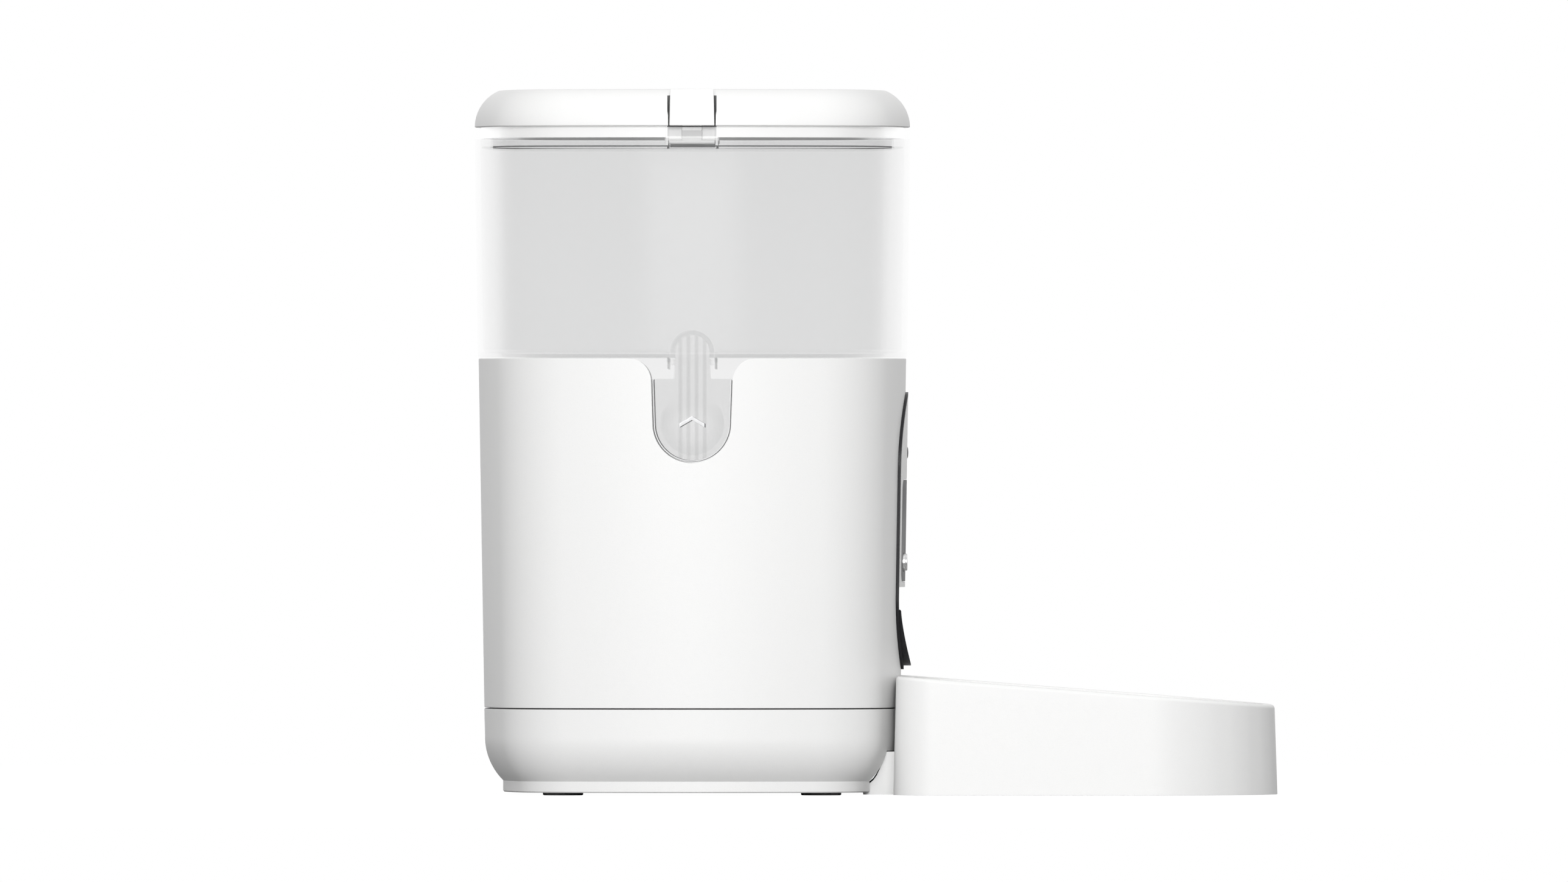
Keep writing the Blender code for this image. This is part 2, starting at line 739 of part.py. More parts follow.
def make_base():
    """Lower shell with its lap rim, screw posts, tongue recess, battery opening and inlet recess."""
    lap_out = wall_half(HOUSING_LOW) - SHELL_WALL - RUN_GAP
    inside = base_levels(SHELL_WALL)
    levels = base_levels(0) + [
        (lap_out, BASE_TOP), (lap_out, BASE_TOP + LAP_HEIGHT), (lap_out - LAP_WALL, BASE_TOP + LAP_HEIGHT),
        (lap_out - LAP_WALL, BASE_TOP - LAP_HEIGHT), (inside[-1][0], BASE_TOP - LAP_HEIGHT - LAP_WALL),
    ] + inside[-2::-1]
    rings = [ring(plan_outline(half), z) for half, z in levels]
    base = loft("base_shell", rings, cap_first=True, cap_last=True)
    recess_half = TONGUE_HALF_WIDTH + RECESS_SIDE_GAP
    recess_top = TONGUE_HEIGHT + RECESS_GAP
    recess_back = AXIS_Y - TONGUE_BACK + RECESS_SIDE_GAP
    front = AXIS_Y - HOUSING_TOP_HALF - OVERRUN
    walls = block(
        "recess_walls",
        (-recess_half - RECESS_WALL, front, -OVERRUN),
        (recess_half + RECESS_WALL, recess_back + RECESS_WALL, recess_top + RECESS_WALL),
    )
    core_rings = [ring(plan_outline(half), z) for half, z in base_levels(SHELL_WALL / 2)]
    core = loft("base_core", core_rings, cap_first=True, cap_last=True)
    bake(combine(walls, core, "INTERSECT"))
    join(base, walls)
    post_low = FLOOR_TOP - (SHELL_WALL - FOOT_SINK) / 2
    post_top = DECK_TOP - CHASSIS_WALL - SEAT_GAP
    tools = []
    for place, (x, y) in enumerate(post_places()):
        join(base, rod(f"post_{place}", about_axis(x, y, post_low), about_axis(x, y, post_top), POST_RADIUS))
        tools.append(rod(
            f"post_bore_{place}", about_axis(x, y, post_top - POST_BORE_DEPTH),
            about_axis(x, y, post_top + OVERRUN), POST_BORE_RADIUS, steps=SMALL_ROUND_STEPS // 2,
        ))
        tools.append(rod(
            f"foot_pocket_{place}", about_axis(x, y, BASE_LOW - OVERRUN),
            about_axis(x, y, BASE_LOW + FOOT_SINK), FOOT_RADIUS + SEAT_GAP,
        ))
    tools.append(block(
        "tongue_recess", (-recess_half, front, -OVERRUN), (recess_half, recess_back, recess_top),
    ))
    tools.append(block(
        "battery_opening",
        about_axis(-bay_half_width(), -bay_half_length(), BASE_LOW - OVERRUN),
        about_axis(bay_half_width(), bay_half_length(), FLOOR_TOP + OVERRUN),
    ))
    back = wall_half(JACK_RISE) + AXIS_Y
    sleeve_in = back - JACK_RECESS_DEPTH
    join(base, rod(
        "inlet_sleeve", (0, sleeve_in, JACK_RISE), (0, back - SHELL_WALL / 2, JACK_RISE),
        JACK_RECESS_RADIUS + JACK_RECESS_WALL,
    ))
    tools.append(rod(
        "inlet_recess", (0, sleeve_in - OVERRUN, JACK_RISE), (0, back + OVERRUN, JACK_RISE),
        JACK_RECESS_RADIUS,
    ))
    cut(base, *tools)
    finish(base, "white")


def make_feet():
    """Four rubber pads that sit in shallow pockets under the screw posts."""
    top = BASE_LOW + FOOT_SINK - SEAT_GAP
    names = ("foot_front_left", "foot_back_left", "foot_front_right", "foot_back_right")
    for name, (x, y) in zip(names, post_places()):
        edge = FOOT_RADIUS - FOOT_BEVEL
        profile = [(0, top), (FOOT_RADIUS, top), (FOOT_RADIUS, FOOT_BEVEL), (edge, 0), (0, 0)]
        finish(lathe(name, profile, about_axis(x, y, 0), steps=SMALL_ROUND_STEPS), "rubber")


def make_battery_bay():
    """Tub over the floor opening, three cells, their contact strips and the swing-down door."""
    half_width, half_length = bay_half_width(), bay_half_length()
    cell_z = BASE_LOW + DOOR_THICKNESS + SEAT_GAP + CELL_RADIUS
    tub_low = FLOOR_TOP + SEAT_GAP
    tub_top = cell_z + CELL_RADIUS + SEAT_GAP + TUB_WALL
    inside = box_outline((-half_width, -half_length), (half_width, half_length))
    outside = offset_outline(inside, -TUB_WALL)
    flange = offset_outline(outside, -TUB_FLANGE)
    levels = [
        (inside, tub_top - TUB_WALL), (inside, tub_low), (flange, tub_low), (flange, tub_low + TUB_WALL),
        (outside, tub_low + TUB_WALL), (outside, tub_top),
    ]
    tub = loft("battery_tub", [ring(outline, z) for outline, z in levels], cap_first=True, cap_last=True)
    finish(tub, "grey")

    shoulder = CELL_LENGTH - CELL_CAP_LENGTH
    profile = [
        (0, CELL_LENGTH), (CELL_CAP_RADIUS, CELL_LENGTH), (CELL_CAP_RADIUS, shoulder),
        (CELL_RADIUS - CELL_CAP_LENGTH, shoulder), (CELL_RADIUS, shoulder - CELL_CAP_LENGTH),
        (CELL_RADIUS, 0), (0, 0),
    ]
    for place in range(CELL_COUNT):
        x = (place - (CELL_COUNT - 1) / 2) * CELL_PITCH
        way = 1 if place % 2 else -1
        start = about_axis(x, -way * CELL_LENGTH / 2, cell_z)
        cell = lathe(f"battery_cell_{place + 1}", profile, start, (0, way, 0), steps=SMALL_ROUND_STEPS)
        finish(cell, "grey")

    for name, way in (("contact_strip_front", -1), ("contact_strip_back", 1)):
        middle = way * (CELL_LENGTH / 2 + SEAT_GAP + CONTACT_THICKNESS / 2)
        strip = block(
            name,
            about_axis(-half_width + TUB_WALL, middle - CONTACT_THICKNESS / 2, cell_z - CONTACT_WIDTH / 2),
            about_axis(half_width - TUB_WALL, middle + CONTACT_THICKNESS / 2, cell_z + CONTACT_WIDTH / 2),
        )
        finish(strip, "steel")

    door_x, door_y = half_width - RUN_GAP, half_length - RUN_GAP
    grip = DOOR_GRIP_WIDTH / 2
    corners = [
        (-door_x, -door_y), (door_x, -door_y), (door_x, door_y), (grip, door_y),
        (grip, door_y - DOOR_GRIP_DEPTH), (-grip, door_y - DOOR_GRIP_DEPTH),
        (-grip, door_y), (-door_x, door_y),
    ]
    radii = [0, 0, 0, 0, DOOR_GRIP_DEPTH / 2, DOOR_GRIP_DEPTH / 2, 0, 0]
    outline = [(x, y + AXIS_Y) for x, y in filleted(corners, radii)]
    door = flat_piece("battery_door", [outline], BASE_LOW, BASE_LOW + DOOR_THICKNESS)
    finish(door, "white", pivot=about_axis(0, -door_y, BASE_LOW))


def make_inlet():
    """Power socket behind the round recess at the back of the base."""
    face = AXIS_Y + wall_half(JACK_RISE) - JACK_RECESS_DEPTH - SEAT_GAP
    body = block(
        "dc_jack",
        (-JACK_WIDTH / 2, face - JACK_DEPTH, JACK_RISE - JACK_WIDTH / 2),
        (JACK_WIDTH / 2, face, JACK_RISE + JACK_WIDTH / 2),
    )
    socket = rod(
        "jack_socket", (0, face - JACK_SOCKET_DEPTH, JACK_RISE), (0, face + OVERRUN, JACK_RISE),
        JACK_SOCKET_RADIUS,
    )
    pin = rod(
        "jack_pin", (0, face - JACK_SOCKET_DEPTH - OVERRUN, JACK_RISE), (0, face - OVERRUN, JACK_RISE),
        JACK_PIN_RADIUS,
    )
    join(cut(body, socket), pin)
    finish(body, "black")


# Main housing and what it holds


def notch_outline():
    """Side notch: flared top corners, nearly upright sides and a half-round foot, open above."""
    low_centre = HOUSING_TOP - NOTCH_DEPTH + NOTCH_LOW_HALF
    flare = NOTCH_TOP_HALF + NOTCH_TOP_FILLET
    fillet_z = HOUSING_TOP - NOTCH_TOP_FILLET
    left = arc((-flare, fillet_z), NOTCH_TOP_FILLET, math.pi / 2, 0, FILLET_STEPS)
    foot = arc((0, low_centre), NOTCH_LOW_HALF, math.pi, 2 * math.pi, ROUND_STEPS // 2)
    right = arc((flare, fillet_z), NOTCH_TOP_FILLET, math.pi, math.pi / 2, FILLET_STEPS)
    return [(-flare, HOUSING_TOP + OVERRUN)] + left + foot + right + [(flare, HOUSING_TOP + OVERRUN)]


def make_housing():
    """Drafted upper shell with two side notches, the panel opening and the speaker grille."""
    rings = [ring(plan_outline(wall_half(z)), z) for z in (HOUSING_LOW, HOUSING_TOP)]
    housing = thicken(loft("main_housing", rings), SHELL_WALL)
    across = [(y + AXIS_Y, z) for y, z in notch_outline()]
    reach = HOUSING_TOP_HALF + OVERRUN
    notches = flat_piece("notches", [across], -reach, reach, plane="YZ")
    panel = flat_piece(
        "panel_opening",
        [capsule_outline(FASCIA_HALF_WIDTH + SEAT_GAP, FASCIA_LOW - SEAT_GAP, FASCIA_TOP + SEAT_GAP)],
        AXIS_Y - reach, front_y(FASCIA_HALF_WIDTH, FASCIA_LOW, SHELL_WALL + OVERRUN), plane="XZ",
    )
    speaker_z = HOUSING_LOW + SPEAKER_RISE
    slots = []
    for place in range(GRILLE_SLOTS):
        x = (place - (GRILLE_SLOTS - 1) / 2) * GRILLE_PITCH
        upright = capsule_outline(
            GRILLE_SLOT_WIDTH / 2, speaker_z - GRILLE_SLOT_HEIGHT / 2,
            speaker_z + GRILLE_SLOT_HEIGHT / 2, FILLET_STEPS,
        )
        slot = [(x + point[0], point[1]) for point in upright]
        slots.append(flat_piece(
            f"grille_slot_{place}", [slot], AXIS_Y + wall_half(HOUSING_LOW) - SHELL_WALL - 2 * OVERRUN,
            AXIS_Y + reach, plane="XZ",
        ))
    cut(housing, panel, *slots, notches)
    finish(housing, "white")

    face = AXIS_Y + wall_half(speaker_z - SPEAKER_RADIUS) - side_fall(SPEAKER_RADIUS) - SHELL_WALL - SEAT_GAP
    cone_depth = SPEAKER_DEPTH / 2
    profile = [
        (0, SPEAKER_DEPTH - cone_depth + SPEAKER_RIM),
        (SPEAKER_RADIUS - 2 * SPEAKER_RIM, SPEAKER_DEPTH - SPEAKER_RIM),
        (SPEAKER_RADIUS - SPEAKER_RIM, SPEAKER_DEPTH), (SPEAKER_RADIUS, SPEAKER_DEPTH),
        (SPEAKER_RADIUS, SPEAKER_DEPTH - SPEAKER_RIM), (SPEAKER_MAGNET_RADIUS, cone_depth - SPEAKER_RIM),
        (SPEAKER_MAGNET_RADIUS, 0), (0, 0),
    ]
    finish(lathe("speaker", profile, (0, face - SPEAKER_DEPTH, speaker_z), (0, 1, 0)), "black")


def make_chassis():
    """Deck on the screw posts, with the dispensing well sunk in it."""
    deck = plan_outline(DECK_HALF)
    well = round_outline(WELL_RADIUS)
    chassis = loft(
        "inner_chassis", [ring(deck, DECK_TOP), ring(well, DECK_TOP), ring(well, WELL_FLOOR)], cap_last=True,
    )
    thicken(chassis, CHASSIS_WALL)
    outlet = block(
        "well_outlet",
        about_axis(-OUTLET_HALF_WIDTH, -OUTLET_FAR, WELL_FLOOR - CHASSIS_WALL - OVERRUN),
        about_axis(OUTLET_HALF_WIDTH, -OUTLET_NEAR, WELL_FLOOR + OVERRUN),
    )
    shaft_hole = rod(
        "shaft_hole", about_axis(0, 0, WELL_FLOOR - CHASSIS_WALL - OVERRUN),
        about_axis(0, 0, WELL_FLOOR + OVERRUN),
        SHAFT_RADIUS + ROTOR_GAP,
    )
    finish(cut(chassis, outlet, shaft_hole), "white")


def make_drive():
    """Gearbox and motor under the well, the output shaft, and the paddle rotor in the well."""
    outline = [(x, y + AXIS_Y) for x, y in box_outline(
        (-GEARBOX_HALF_WIDTH, -GEARBOX_FRONT), (GEARBOX_HALF_WIDTH, GEARBOX_BACK), GEARBOX_CORNER,
    )]
    gearbox = flat_piece("gearbox", [outline], GEARBOX_TOP - GEARBOX_HEIGHT, GEARBOX_TOP)
    shaft_low = GEARBOX_TOP - SHAFT_ENTRY
    cut(gearbox, rod(
        "gearbox_bore", about_axis(0, 0, shaft_low - SEAT_GAP), about_axis(0, 0, GEARBOX_TOP + OVERRUN),
        SHAFT_RADIUS + SHAFT_BORE_GAP,
    ))
    finish(gearbox, "grey")

    motor_top = GEARBOX_TOP - GEARBOX_HEIGHT - SEAT_GAP
    low = motor_top - MOTOR_LENGTH
    profile = [
        (0, motor_top), (MOTOR_RADIUS, motor_top), (MOTOR_RADIUS, low + MOTOR_EDGE),
        (MOTOR_RADIUS - MOTOR_EDGE, low), (MOTOR_END_RADIUS, low), (MOTOR_END_RADIUS, low - MOTOR_END),
        (0, low - MOTOR_END),
    ]
    finish(lathe("drive_motor", profile, about_axis(0, MOTOR_BACK, 0)), "silver")

    rotor_low = WELL_FLOOR + ROTOR_GAP
    rotor_top = rotor_low + ROTOR_HEIGHT
    shaft_top = rotor_low + SHAFT_GRIP
    centre = about_axis(0, 0, rotor_low)
    shaft = rod("output_shaft", about_axis(0, 0, shaft_low), about_axis(0, 0, shaft_top), SHAFT_RADIUS)
    finish(shaft, "steel", pivot=centre)

    rotor = lathe("dispensing_rotor", [
        (0, rotor_top + HUB_CAP), (HUB_RADIUS / 2, rotor_top + HUB_CAP * 3 / 4), (HUB_RADIUS, rotor_top),
        (HUB_RADIUS, rotor_low), (0, rotor_low),
    ], about_axis(0, 0, 0))
    reach = WELL_RADIUS - 2 * RUN_GAP
    for place in range(PADDLE_COUNT):
        paddle = block(
            f"paddle_{place}", (HUB_RADIUS / 2, -PADDLE_THICKNESS / 2, rotor_low),
            (reach, PADDLE_THICKNESS / 2, rotor_top - OVERRUN),
        )
        spin = Matrix.Rotation(2 * math.pi * (place + 1 / 2) / PADDLE_COUNT, 4, "Z")
        paddle.data.transform(Matrix.Translation((0, AXIS_Y, 0)) @ spin)
        join(rotor, paddle)
    cut(rotor, rod(
        "hub_bore", about_axis(0, 0, rotor_low - OVERRUN), about_axis(0, 0, shaft_top + SHAFT_BORE_GAP),
        SHAFT_RADIUS + SHAFT_BORE_GAP,
    ))
    finish(rotor, "silicone", pivot=centre)


def make_chute():
    """Sloping duct from the well's outlet to the spout, square above and D-shaped below."""
    radius = FASCIA_HALF_WIDTH - BEZEL_RIM - SPOUT_WALL - 4 * SEAT_GAP
    ceiling = FASCIA_LOW_CENTRE - CHUTE_CEILING_DROP
    spout_back = front_y(0, FASCIA_LOW, SPOUT_BACK)
    top_z = WELL_FLOOR - CHASSIS_WALL - SEAT_GAP
    half_width = OUTLET_HALF_WIDTH + CHUTE_WALL + RUN_GAP
    half_length = (OUTLET_FAR - OUTLET_NEAR) / 2 + CHUTE_WALL + RUN_GAP
    middle = AXIS_Y - (OUTLET_FAR + OUTLET_NEAR) / 2
    bearings = [2 * math.pi * step / CHUTE_STEPS for step in range(CHUTE_STEPS)]

    def squared(value):
        return math.copysign(abs(value) ** CHUTE_SQUARE_SHARE, value)

    def mouth(y, inset):
        reach = radius - inset
        drop = ceiling - inset
        return [
            Vector((reach * math.cos(turn), y, min(FASCIA_LOW_CENTRE - reach * math.sin(turn), drop)))
            for turn in bearings
        ]

    def entry(z, inset):
        across = half_width - inset
        along = half_length - inset
        return [
            Vector((across * squared(math.cos(turn)), middle + along * squared(math.sin(turn)), z))
            for turn in bearings
        ]

    def skin(inset):
        sleeve = [mouth(spout_back - CHUTE_SLEEVE, inset), mouth(spout_back + SEAT_GAP, inset)]
        return sleeve + [entry(top_z - CHUTE_COLLAR, inset), entry(top_z, inset)]

    finish(loft("outlet_chute", skin(0) + skin(CHUTE_WALL)[::-1], closed=True), "white")


def make_spout():
    """Half-round lip under the front panel whose edge leans out towards its foot."""
    outer = FASCIA_HALF_WIDTH - BEZEL_RIM - SEAT_GAP
    inner = outer - SPOUT_WALL
    centre = (0, FASCIA_LOW_CENTRE)
    steps = ROUND_STEPS // 2
    section = arc(centre, outer, math.pi, 2 * math.pi, steps)
    section += arc(centre, inner, 2 * math.pi, math.pi, steps)
    foot = centre[1] - outer
    front = front_y(0, FASCIA_LOW, -SPOUT_REACH)
    spout = flat_piece(
        "outlet_spout", [section], front - OVERRUN, front_y(0, FASCIA_LOW, SPOUT_BACK), plane="XZ",
    )
    edge = []
    for step in range(SPOUT_STEPS + 1):
        share = step / SPOUT_STEPS
        lean = SPOUT_REACH * (1 - (1 - share) ** SPOUT_CURVE_SHARE)
        edge.append((front + lean, foot + SPOUT_WEDGE_HEIGHT * share))
    edge[0] = (front, foot - OVERRUN)
    edge.append((front + SPOUT_REACH, centre[1] + OVERRUN))
    edge += [(front - 2 * OVERRUN, centre[1] + OVERRUN), (front - 2 * OVERRUN, foot - OVERRUN)]
    trim = flat_piece("spout_trim", [edge], -FASCIA_HALF_WIDTH, FASCIA_HALF_WIDTH, plane="YZ")
    finish(cut(spout, trim), "black")


# Front panel


def plate_outline(inset):
    """Upper part of the panel's capsule, cut off level at the foot of the white plate."""
    half = FASCIA_HALF_WIDTH - inset
    top = arc((0, FASCIA_TOP - FASCIA_HALF_WIDTH), half, 0, math.pi, ROUND_STEPS // 2)
    return [(half, PLATE_LOW)] + top + [(-half, PLATE_LOW)]


def screen_outline(inset):
    corner = SCREEN_HALF_WIDTH - inset
    return box_outline(
        (-corner, SCREEN_LOW + inset), (corner, SCREEN_LOW + SCREEN_HEIGHT - inset), SCREEN_CORNER - inset,
    )


def button_centres():
    return [(place * BUTTON_PITCH, BUTTON_Z) for place in (-1, 0, 1)]


def board_span():
    """Lowest and highest level of the control board."""
    return PLATE_LOW + BOARD_LOW_RISE, FASCIA_TOP - BEZEL_RIM - BOARD_SIDE_ROOM


def board_face_y():
    return front_y(0, SCREEN_LOW + SCREEN_HEIGHT / 2, BOARD_DEPTH)


def make_bezel():
    """Black capsule rim with the sunk floor that carries the plate, and posts for the board."""
    bezel = flat_piece(
        "fascia_bezel", [capsule_outline(FASCIA_HALF_WIDTH, FASCIA_LOW, FASCIA_TOP)],
        -BEZEL_PROUD, BEZEL_DEPTH, plane="XZ",
    )
    inner = FASCIA_HALF_WIDTH - BEZEL_RIM
    pocket = flat_piece(
        "plate_pocket", [capsule_outline(inner, FASCIA_LOW + BEZEL_RIM, FASCIA_TOP - BEZEL_RIM)],
        -BEZEL_PROUD - OVERRUN, BEZEL_POCKET, plane="XZ",
    )
    ends = arc((0, FASCIA_LOW_CENTRE), inner, math.pi, 2 * math.pi, ROUND_STEPS // 2)
    mouth = flat_piece("panel_mouth", [ends], BEZEL_POCKET - OVERRUN, BEZEL_DEPTH + OVERRUN, plane="XZ")
    half = DISPLAY_HALF_WIDTH + RUN_GAP
    low = SCREEN_LOW + SCREEN_HEIGHT - DISPLAY_HEIGHT - SCREEN_CORNER
    display = flat_piece(
        "display_opening", [box_outline((-half, low - RUN_GAP), (half, low + DISPLAY_HEIGHT + RUN_GAP))],
        BEZEL_POCKET - OVERRUN, BEZEL_DEPTH + OVERRUN, plane="XZ",
    )
    cut(bezel, pocket, mouth, display)
    for place, centre in enumerate(button_centres()):
        cut(bezel, flat_piece(
            f"stem_hole_{place}", [circle(centre, BUTTON_STEM_RADIUS + ROTOR_GAP, SMALL_ROUND_STEPS // 2)],
            BEZEL_POCKET - OVERRUN, BEZEL_DEPTH + OVERRUN, plane="XZ",
        ))
    lay_on_wall(bezel, 0, strip=FASCIA_HALF_WIDTH / 5)
    board_low, board_high = board_span()
    across = BOARD_HALF_WIDTH - BOARD_POST_RADIUS
    for place, (x, z) in enumerate([(x, z) for x in (-across, across) for z in (
        board_low + BOARD_POST_RADIUS, board_high - 2 * BOARD_SIDE_ROOM,
    )]):
        start = front_y(x, z, (BEZEL_POCKET + BEZEL_DEPTH) / 2)
        end = board_face_y() - SEAT_GAP
        join(bezel, rod(f"board_post_{place}", (x, start, z), (x, end, z), BOARD_POST_RADIUS))
    finish(bezel, "black")


def make_plate():
    """White plate with its screen opening, the smoked screen and the status lens."""
    lens = (0, SCREEN_LOW + SCREEN_HEIGHT + LENS_RISE)
    plate = flat_piece(
        "face_plate",
        [
            plate_outline(BEZEL_RIM + SEAT_GAP), screen_outline(0),
            circle(lens, LENS_RADIUS + SEAT_GAP, SMALL_ROUND_STEPS),
        ],
        -PLATE_PROUD, PLATE_THICKNESS - PLATE_PROUD, plane="XZ",
    )
    strip = FASCIA_HALF_WIDTH / 5
    finish(lay_on_wall(plate, 0, strip), "white")

    holes = [circle(centre, BUTTON_RADIUS + RUN_GAP, SMALL_ROUND_STEPS) for centre in button_centres()]
    screen = flat_piece(
        "display_window", [screen_outline(SEAT_GAP)] + holes, -SCREEN_PROUD, SCREEN_THICKNESS - SCREEN_PROUD,
        plane="XZ",
    )
    finish(lay_on_wall(screen, 0, strip), "smoke")

    base = front_y(0, lens[1], LENS_DEPTH)
    height = LENS_DEPTH + PLATE_PROUD
    profile = [
        (0, height + LENS_PROUD), (LENS_RADIUS / 2, height + LENS_PROUD * 4 / 5), (LENS_RADIUS, height),
        (LENS_RADIUS, 0), (0, 0),
    ]
    finish(lathe("status_lens", profile, (0, base, lens[1]), (0, -1, 0), SMALL_ROUND_STEPS), "smoke")


def make_buttons():
    """Three round push buttons that reach through the screen to switches on the board."""
    names = ("button_left", "button_middle", "button_right")
    for name, (x, z) in zip(names, button_centres()):
        face = front_y(x, z, -SCREEN_PROUD)
        foot = board_face_y() - SWITCH_DEPTH - BUTTON_TRAVEL - SEAT_GAP
        top = foot - face + BUTTON_PROUD
        lean = (BUTTON_RADIUS + BUTTON_FLANGE) * abs(x) / SIDE_RADIUS
        flange = foot - face - SCREEN_THICKNESS - RUN_GAP - lean
        edge = BUTTON_PROUD / 2
        profile = [
            (0, top), (BUTTON_RADIUS - edge, top), (BUTTON_RADIUS, top - edge), (BUTTON_RADIUS, flange),
            (BUTTON_RADIUS + BUTTON_FLANGE, flange),
            (BUTTON_RADIUS + BUTTON_FLANGE, flange - BUTTON_FLANGE_THICKNESS),
            (BUTTON_STEM_RADIUS, flange - BUTTON_FLANGE_THICKNESS), (BUTTON_STEM_RADIUS, 0), (0, 0),
        ]
        button = lathe(name, profile, (x, foot, z), (0, -1, 0), SMALL_ROUND_STEPS)
        finish(button, "silver", pivot=(x, face, z))


def make_board():
    """Control board with the display block and one switch behind each button."""
    low, high = board_span()
    face = board_face_y()
    outline = box_outline((-BOARD_HALF_WIDTH, low), (BOARD_HALF_WIDTH, high), BOARD_SIDE_ROOM)
    board = flat_piece("control_board", [outline], face, face + BOARD_THICKNESS, plane="XZ")
    display_low = SCREEN_LOW + SCREEN_HEIGHT - DISPLAY_HEIGHT - SCREEN_CORNER
    back = face + BOARD_THICKNESS / 2
    join(board, block(
        "display_block", (-DISPLAY_HALF_WIDTH, face - DISPLAY_DEPTH, display_low),
        (DISPLAY_HALF_WIDTH, back, display_low + DISPLAY_HEIGHT),
    ))
    half = SWITCH_WIDTH / 2
    for place, (x, z) in enumerate(button_centres()):
        join(board, block(
            f"switch_{place}", (x - half, face - SWITCH_DEPTH, z - half), (x + half, back, z + half),
        ))
    finish(board, "board")


# Hopper and its release tabs


def neck_top_centre():
    """Level of the centre of the arch at the head of a release tab's neck."""
    return HOPPER_LOW + TAB_NECK_RISE - TAB_NECK_TOP_HALF


def arch_outline(half, low):
    """Upright slot with a half-round head round the tab's neck."""
    head = arc((0, neck_top_centre()), half, 0, math.pi, ROUND_STEPS // 2)
    return [(half, low)] + head + [(-half, low)]


def make_hopper():
    """Clear food bin with its funnel, pockets for the tab necks, pivot ears and latch windows."""
    mouth_low = DECK_TOP - MOUTH_ENTRY
    funnel_top = plan_outline(HOPPER_LOW_HALF - FUNNEL_TOP_INSET)
    mouth = round_outline(MOUTH_RADIUS)
    rings = [ring(mouth, mouth_low)]
    for fall, share in reversed(FUNNEL_SHARES):
        z = HOPPER_LOW - (HOPPER_LOW - mouth_low) * fall
        rings.append(ring(blend_outlines(funnel_top, mouth, share), z))
    rings.append(ring(funnel_top, HOPPER_LOW))
    rings.append(ring(plan_outline(HOPPER_LOW_HALF), HOPPER_LOW))
    rings.append(ring(plan_outline(HOPPER_TOP_HALF), HOPPER_TOP))
    hopper = thicken(loft("food_hopper", rings), HOPPER_WALL)

    pocket_half = TAB_NECK_TOP_HALF + POCKET_BAND
    backing_low = HOPPER_LOW + HOPPER_WALL / 2
    ear_span = (HOPPER_LOW - EAR_DROP, HOPPER_LOW + HOPPER_WALL / 2)
    window_high = HOPPER_TOP - WINDOW_DROP
    for side, heading in (("left", 270), ("right", 90)):
        backing = flat_piece(
            f"pocket_back_{side}", [arch_outline(pocket_half + POCKET_BACK, backing_low)],
            HOPPER_WALL / 2, POCKET_DEPTH + POCKET_BACK, plane="XZ",
        )
        join(hopper, lay_on_wall(backing, heading))
        for way in (-1, 1):
            inner, outer = sorted((way * EAR_IN, way * (EAR_IN + EAR_WIDTH)))
            ear = flat_piece(
                f"ear_{side}_{way}", [box_outline((inner, ear_span[0]), (outer, ear_span[1]))],
                RUN_GAP, POCKET_DEPTH + POCKET_BACK, plane="XZ",
            )
            join(hopper, lay_on_wall(ear, heading))
        pocket = flat_piece(
            f"neck_pocket_{side}", [arch_outline(pocket_half, HOPPER_LOW - OVERRUN)],
            -HOPPER_LOW_HALF + HOUSING_TOP_HALF - OVERRUN, POCKET_DEPTH, plane="XZ",
        )
        cut(hopper, lay_on_wall(pocket, heading))
    reach = HOPPER_TOP_HALF + OVERRUN
    cut(hopper, block(
        "latch_windows", about_axis(-reach, -WINDOW_HALF_WIDTH, window_high - WINDOW_HEIGHT),
        about_axis(reach, WINDOW_HALF_WIDTH, window_high),
    ))
    finish(hopper, "clear")


